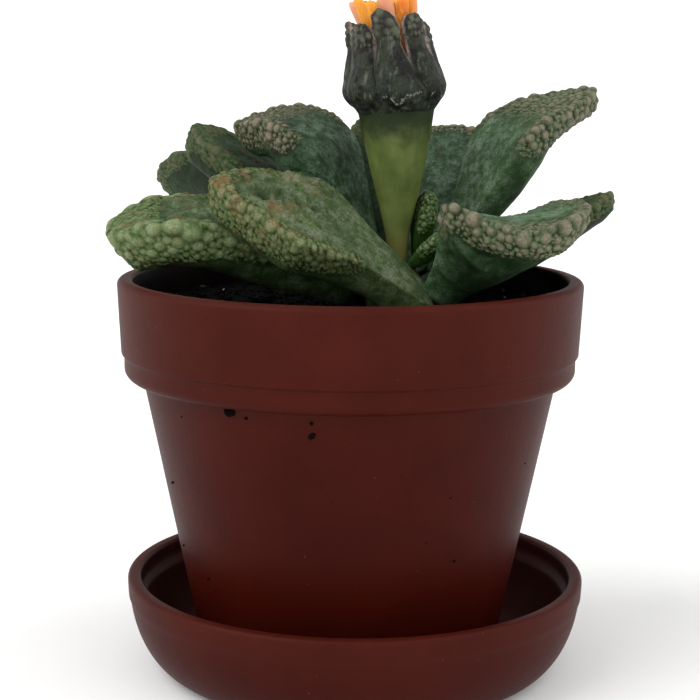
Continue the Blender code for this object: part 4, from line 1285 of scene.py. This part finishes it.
def petalFinish():
    # orange petals with fine lengthwise lines, paler edges and some that have dried to salmon
    skin = tissueFinish("petal skin", 0.22, 0.3, (1.0, 0.5, 0.2), 1.2)
    tint, side, along = skin.own("tint"), skin.own("side"), skin.own("along")
    lines = skin.noise(0.16, 3, 0.6, place=skin.stretched((1, 1, 0.06)))
    colour = skin.blend(tint.between(0.0, 0.6), seen(206, 112, 30), seen(228, 146, 48))
    colour = skin.blend(lines.between(0.4, 0.75) * 0.4, colour, seen(242, 184, 104))
    colour = skin.blend(tint.between(0.72, 0.8) * 0.75, colour, seen(206, 142, 124))
    colour = skin.blend((1 - along).between(0.3, 0.8) * 0.6, colour, seen(150, 84, 60))
    colour = skin.blend((side * side).between(0.7, 1.0) * 0.35, colour, seen(250, 214, 158))
    skin.feed("Base Color", colour)
    skin.feed("Roughness", 0.4 + lines * 0.25)
    skin.relief(lines, 0.06, 0.8)
    return skin.material


def dressFlower():
    # the cup and its sepals as one piece, the rings of petals on their core as the other
    parts = [cupPart()] + [sepalPart(own, 40 + number) for number, own in enumerate(sepals)]
    calyx = joinedPiece("calyx_skin", [placedPart(*part) for part in parts])
    calyx.data.materials.append(calyxFinish())
    strips = []
    for order, ring in enumerate(petalRings):
        strips += [petalPart(ring, number, 200 + 20 * order + number) for number in range(ring["count"])]
    core = turnedGrid(evenProfile(petalForm["core"], 0.4), 48, (0, 0))
    flat = np.zeros(core.shape[:2])
    strips.append((core, dict(tint=flat + 0.5, along=flat, side=flat)))
    petals = joinedPiece("petal_strips", [placedPart(*strip) for strip in strips])
    petals.data.materials.append(petalFinish())
    for piece, node, slot in ((calyx, "calyx", "calyx_tissue"), (petals, "petals", "petal_tissue")):
        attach(piece, "root")
        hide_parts(node)
        print(node, len(piece.data.polygons), "faces")


# the camera of the photo, a pale floor and soft studio light

view = dict(
    # the camera's place from the foot of the pot's axis, its turn down, its roll, and its lens
    stand=(0.0, -196.6, 70.87), down=math.radians(9.4), roll=math.radians(0.46), lens=85.68, sensor=36.0,
)
studio = dict(
    # suns: the way their light comes from, strength, and width in degrees
    suns=(
        ((-0.7, -0.35, 0.78), 2.1, 50), ((0.8, -0.2, 0.62), 1.3, 70), ((0.15, -0.9, 0.3), 1.15, 70),
        ((0, 0.4, 1), 0.4, 80), ((-1, 0.25, 0.1), 0.5, 50), ((1, 0.25, 0.1), 0.45, 50),
    ),
    # the floor is level as far as rise, then sweeps up until reach
    world=0.36, floor=(244, 244, 243), rise=400, steep=0.00012, reach=2600, squares=79,
)


def setCamera():
    # looks along +Y from its stand, turned down and rolled a little
    camera = bpy.data.objects.new("camera", bpy.data.cameras.new("camera"))
    bpy.context.scene.collection.objects.link(camera)
    camera.data.lens, camera.data.sensor_width = view["lens"], view["sensor"]
    camera.data.clip_start = 0.01
    place = (Vector(view["stand"]) + Vector((*potAxis, 0))) * mm
    turn = Matrix.Rotation(math.pi / 2 - view["down"], 4, "X") @ Matrix.Rotation(view["roll"], 4, "Z")
    camera.matrix_world = Matrix.Translation(place) @ turn
    bpy.context.scene.camera = camera


def addSun(name, source, strength, wide):
    # soft light from one side of the sky
    light = bpy.data.lights.new(name, "SUN")
    light.energy, light.angle = strength, math.radians(wide)
    thing = bpy.data.objects.new(name, light)
    thing.rotation_euler = (-Vector(source)).to_track_quat("-Z", "Y").to_euler()
    thing.location = Vector(source) * 0.5
    bpy.context.scene.collection.objects.link(thing)


def setStudio():
    # a flat floor that sweeps up far away: its height is steep times the square of the way past rise
    count = studio["squares"] + 1
    line = np.linspace(-studio["reach"], studio["reach"], count)
    x, y = np.meshgrid(line, line, indexing="ij")
    z = studio["steep"] * np.clip(np.hypot(x, y) - studio["rise"], 0, None) ** 2
    corner = (np.arange(count - 1)[:, None] * count + np.arange(count - 1)).reshape(-1)
    faces = np.stack([corner, corner + count, corner + count + 1, corner + 1], -1).tolist()
    floor = makePiece("floor", np.stack([x, y, z], -1).reshape(-1, 3), faces)
    plain = Finish("pale floor", Roughness=0.9)
    tone = plain.noise(60, 2).between(0.2, 0.8)
    dark, light = [seen(*[c + more for c in studio["floor"]]) for more in (0, 4)]
    plain.feed("Base Color", plain.blend(tone, dark, light))
    floor.data.materials.append(plain.material)
    world = bpy.data.worlds.new("studio")
    world.use_nodes = True
    world.node_tree.nodes["Background"].inputs["Color"].default_value = (1, 1, 1, 1)
    world.node_tree.nodes["Background"].inputs["Strength"].default_value = studio["world"]
    bpy.context.scene.world = world
    for number, sun in enumerate(studio["suns"]):
        addSun(f"soft_light_{number + 1}", *sun)
    bpy.context.scene.view_settings.view_transform = "Standard"


setCamera()
setStudio()
print("camera, floor and lights set")
dressPlastic()
dressSoil()
dressDirt()
dressStem()
dressFlower()
print("pot, soil and flower done")
dressLeaves()
print("leaves done")
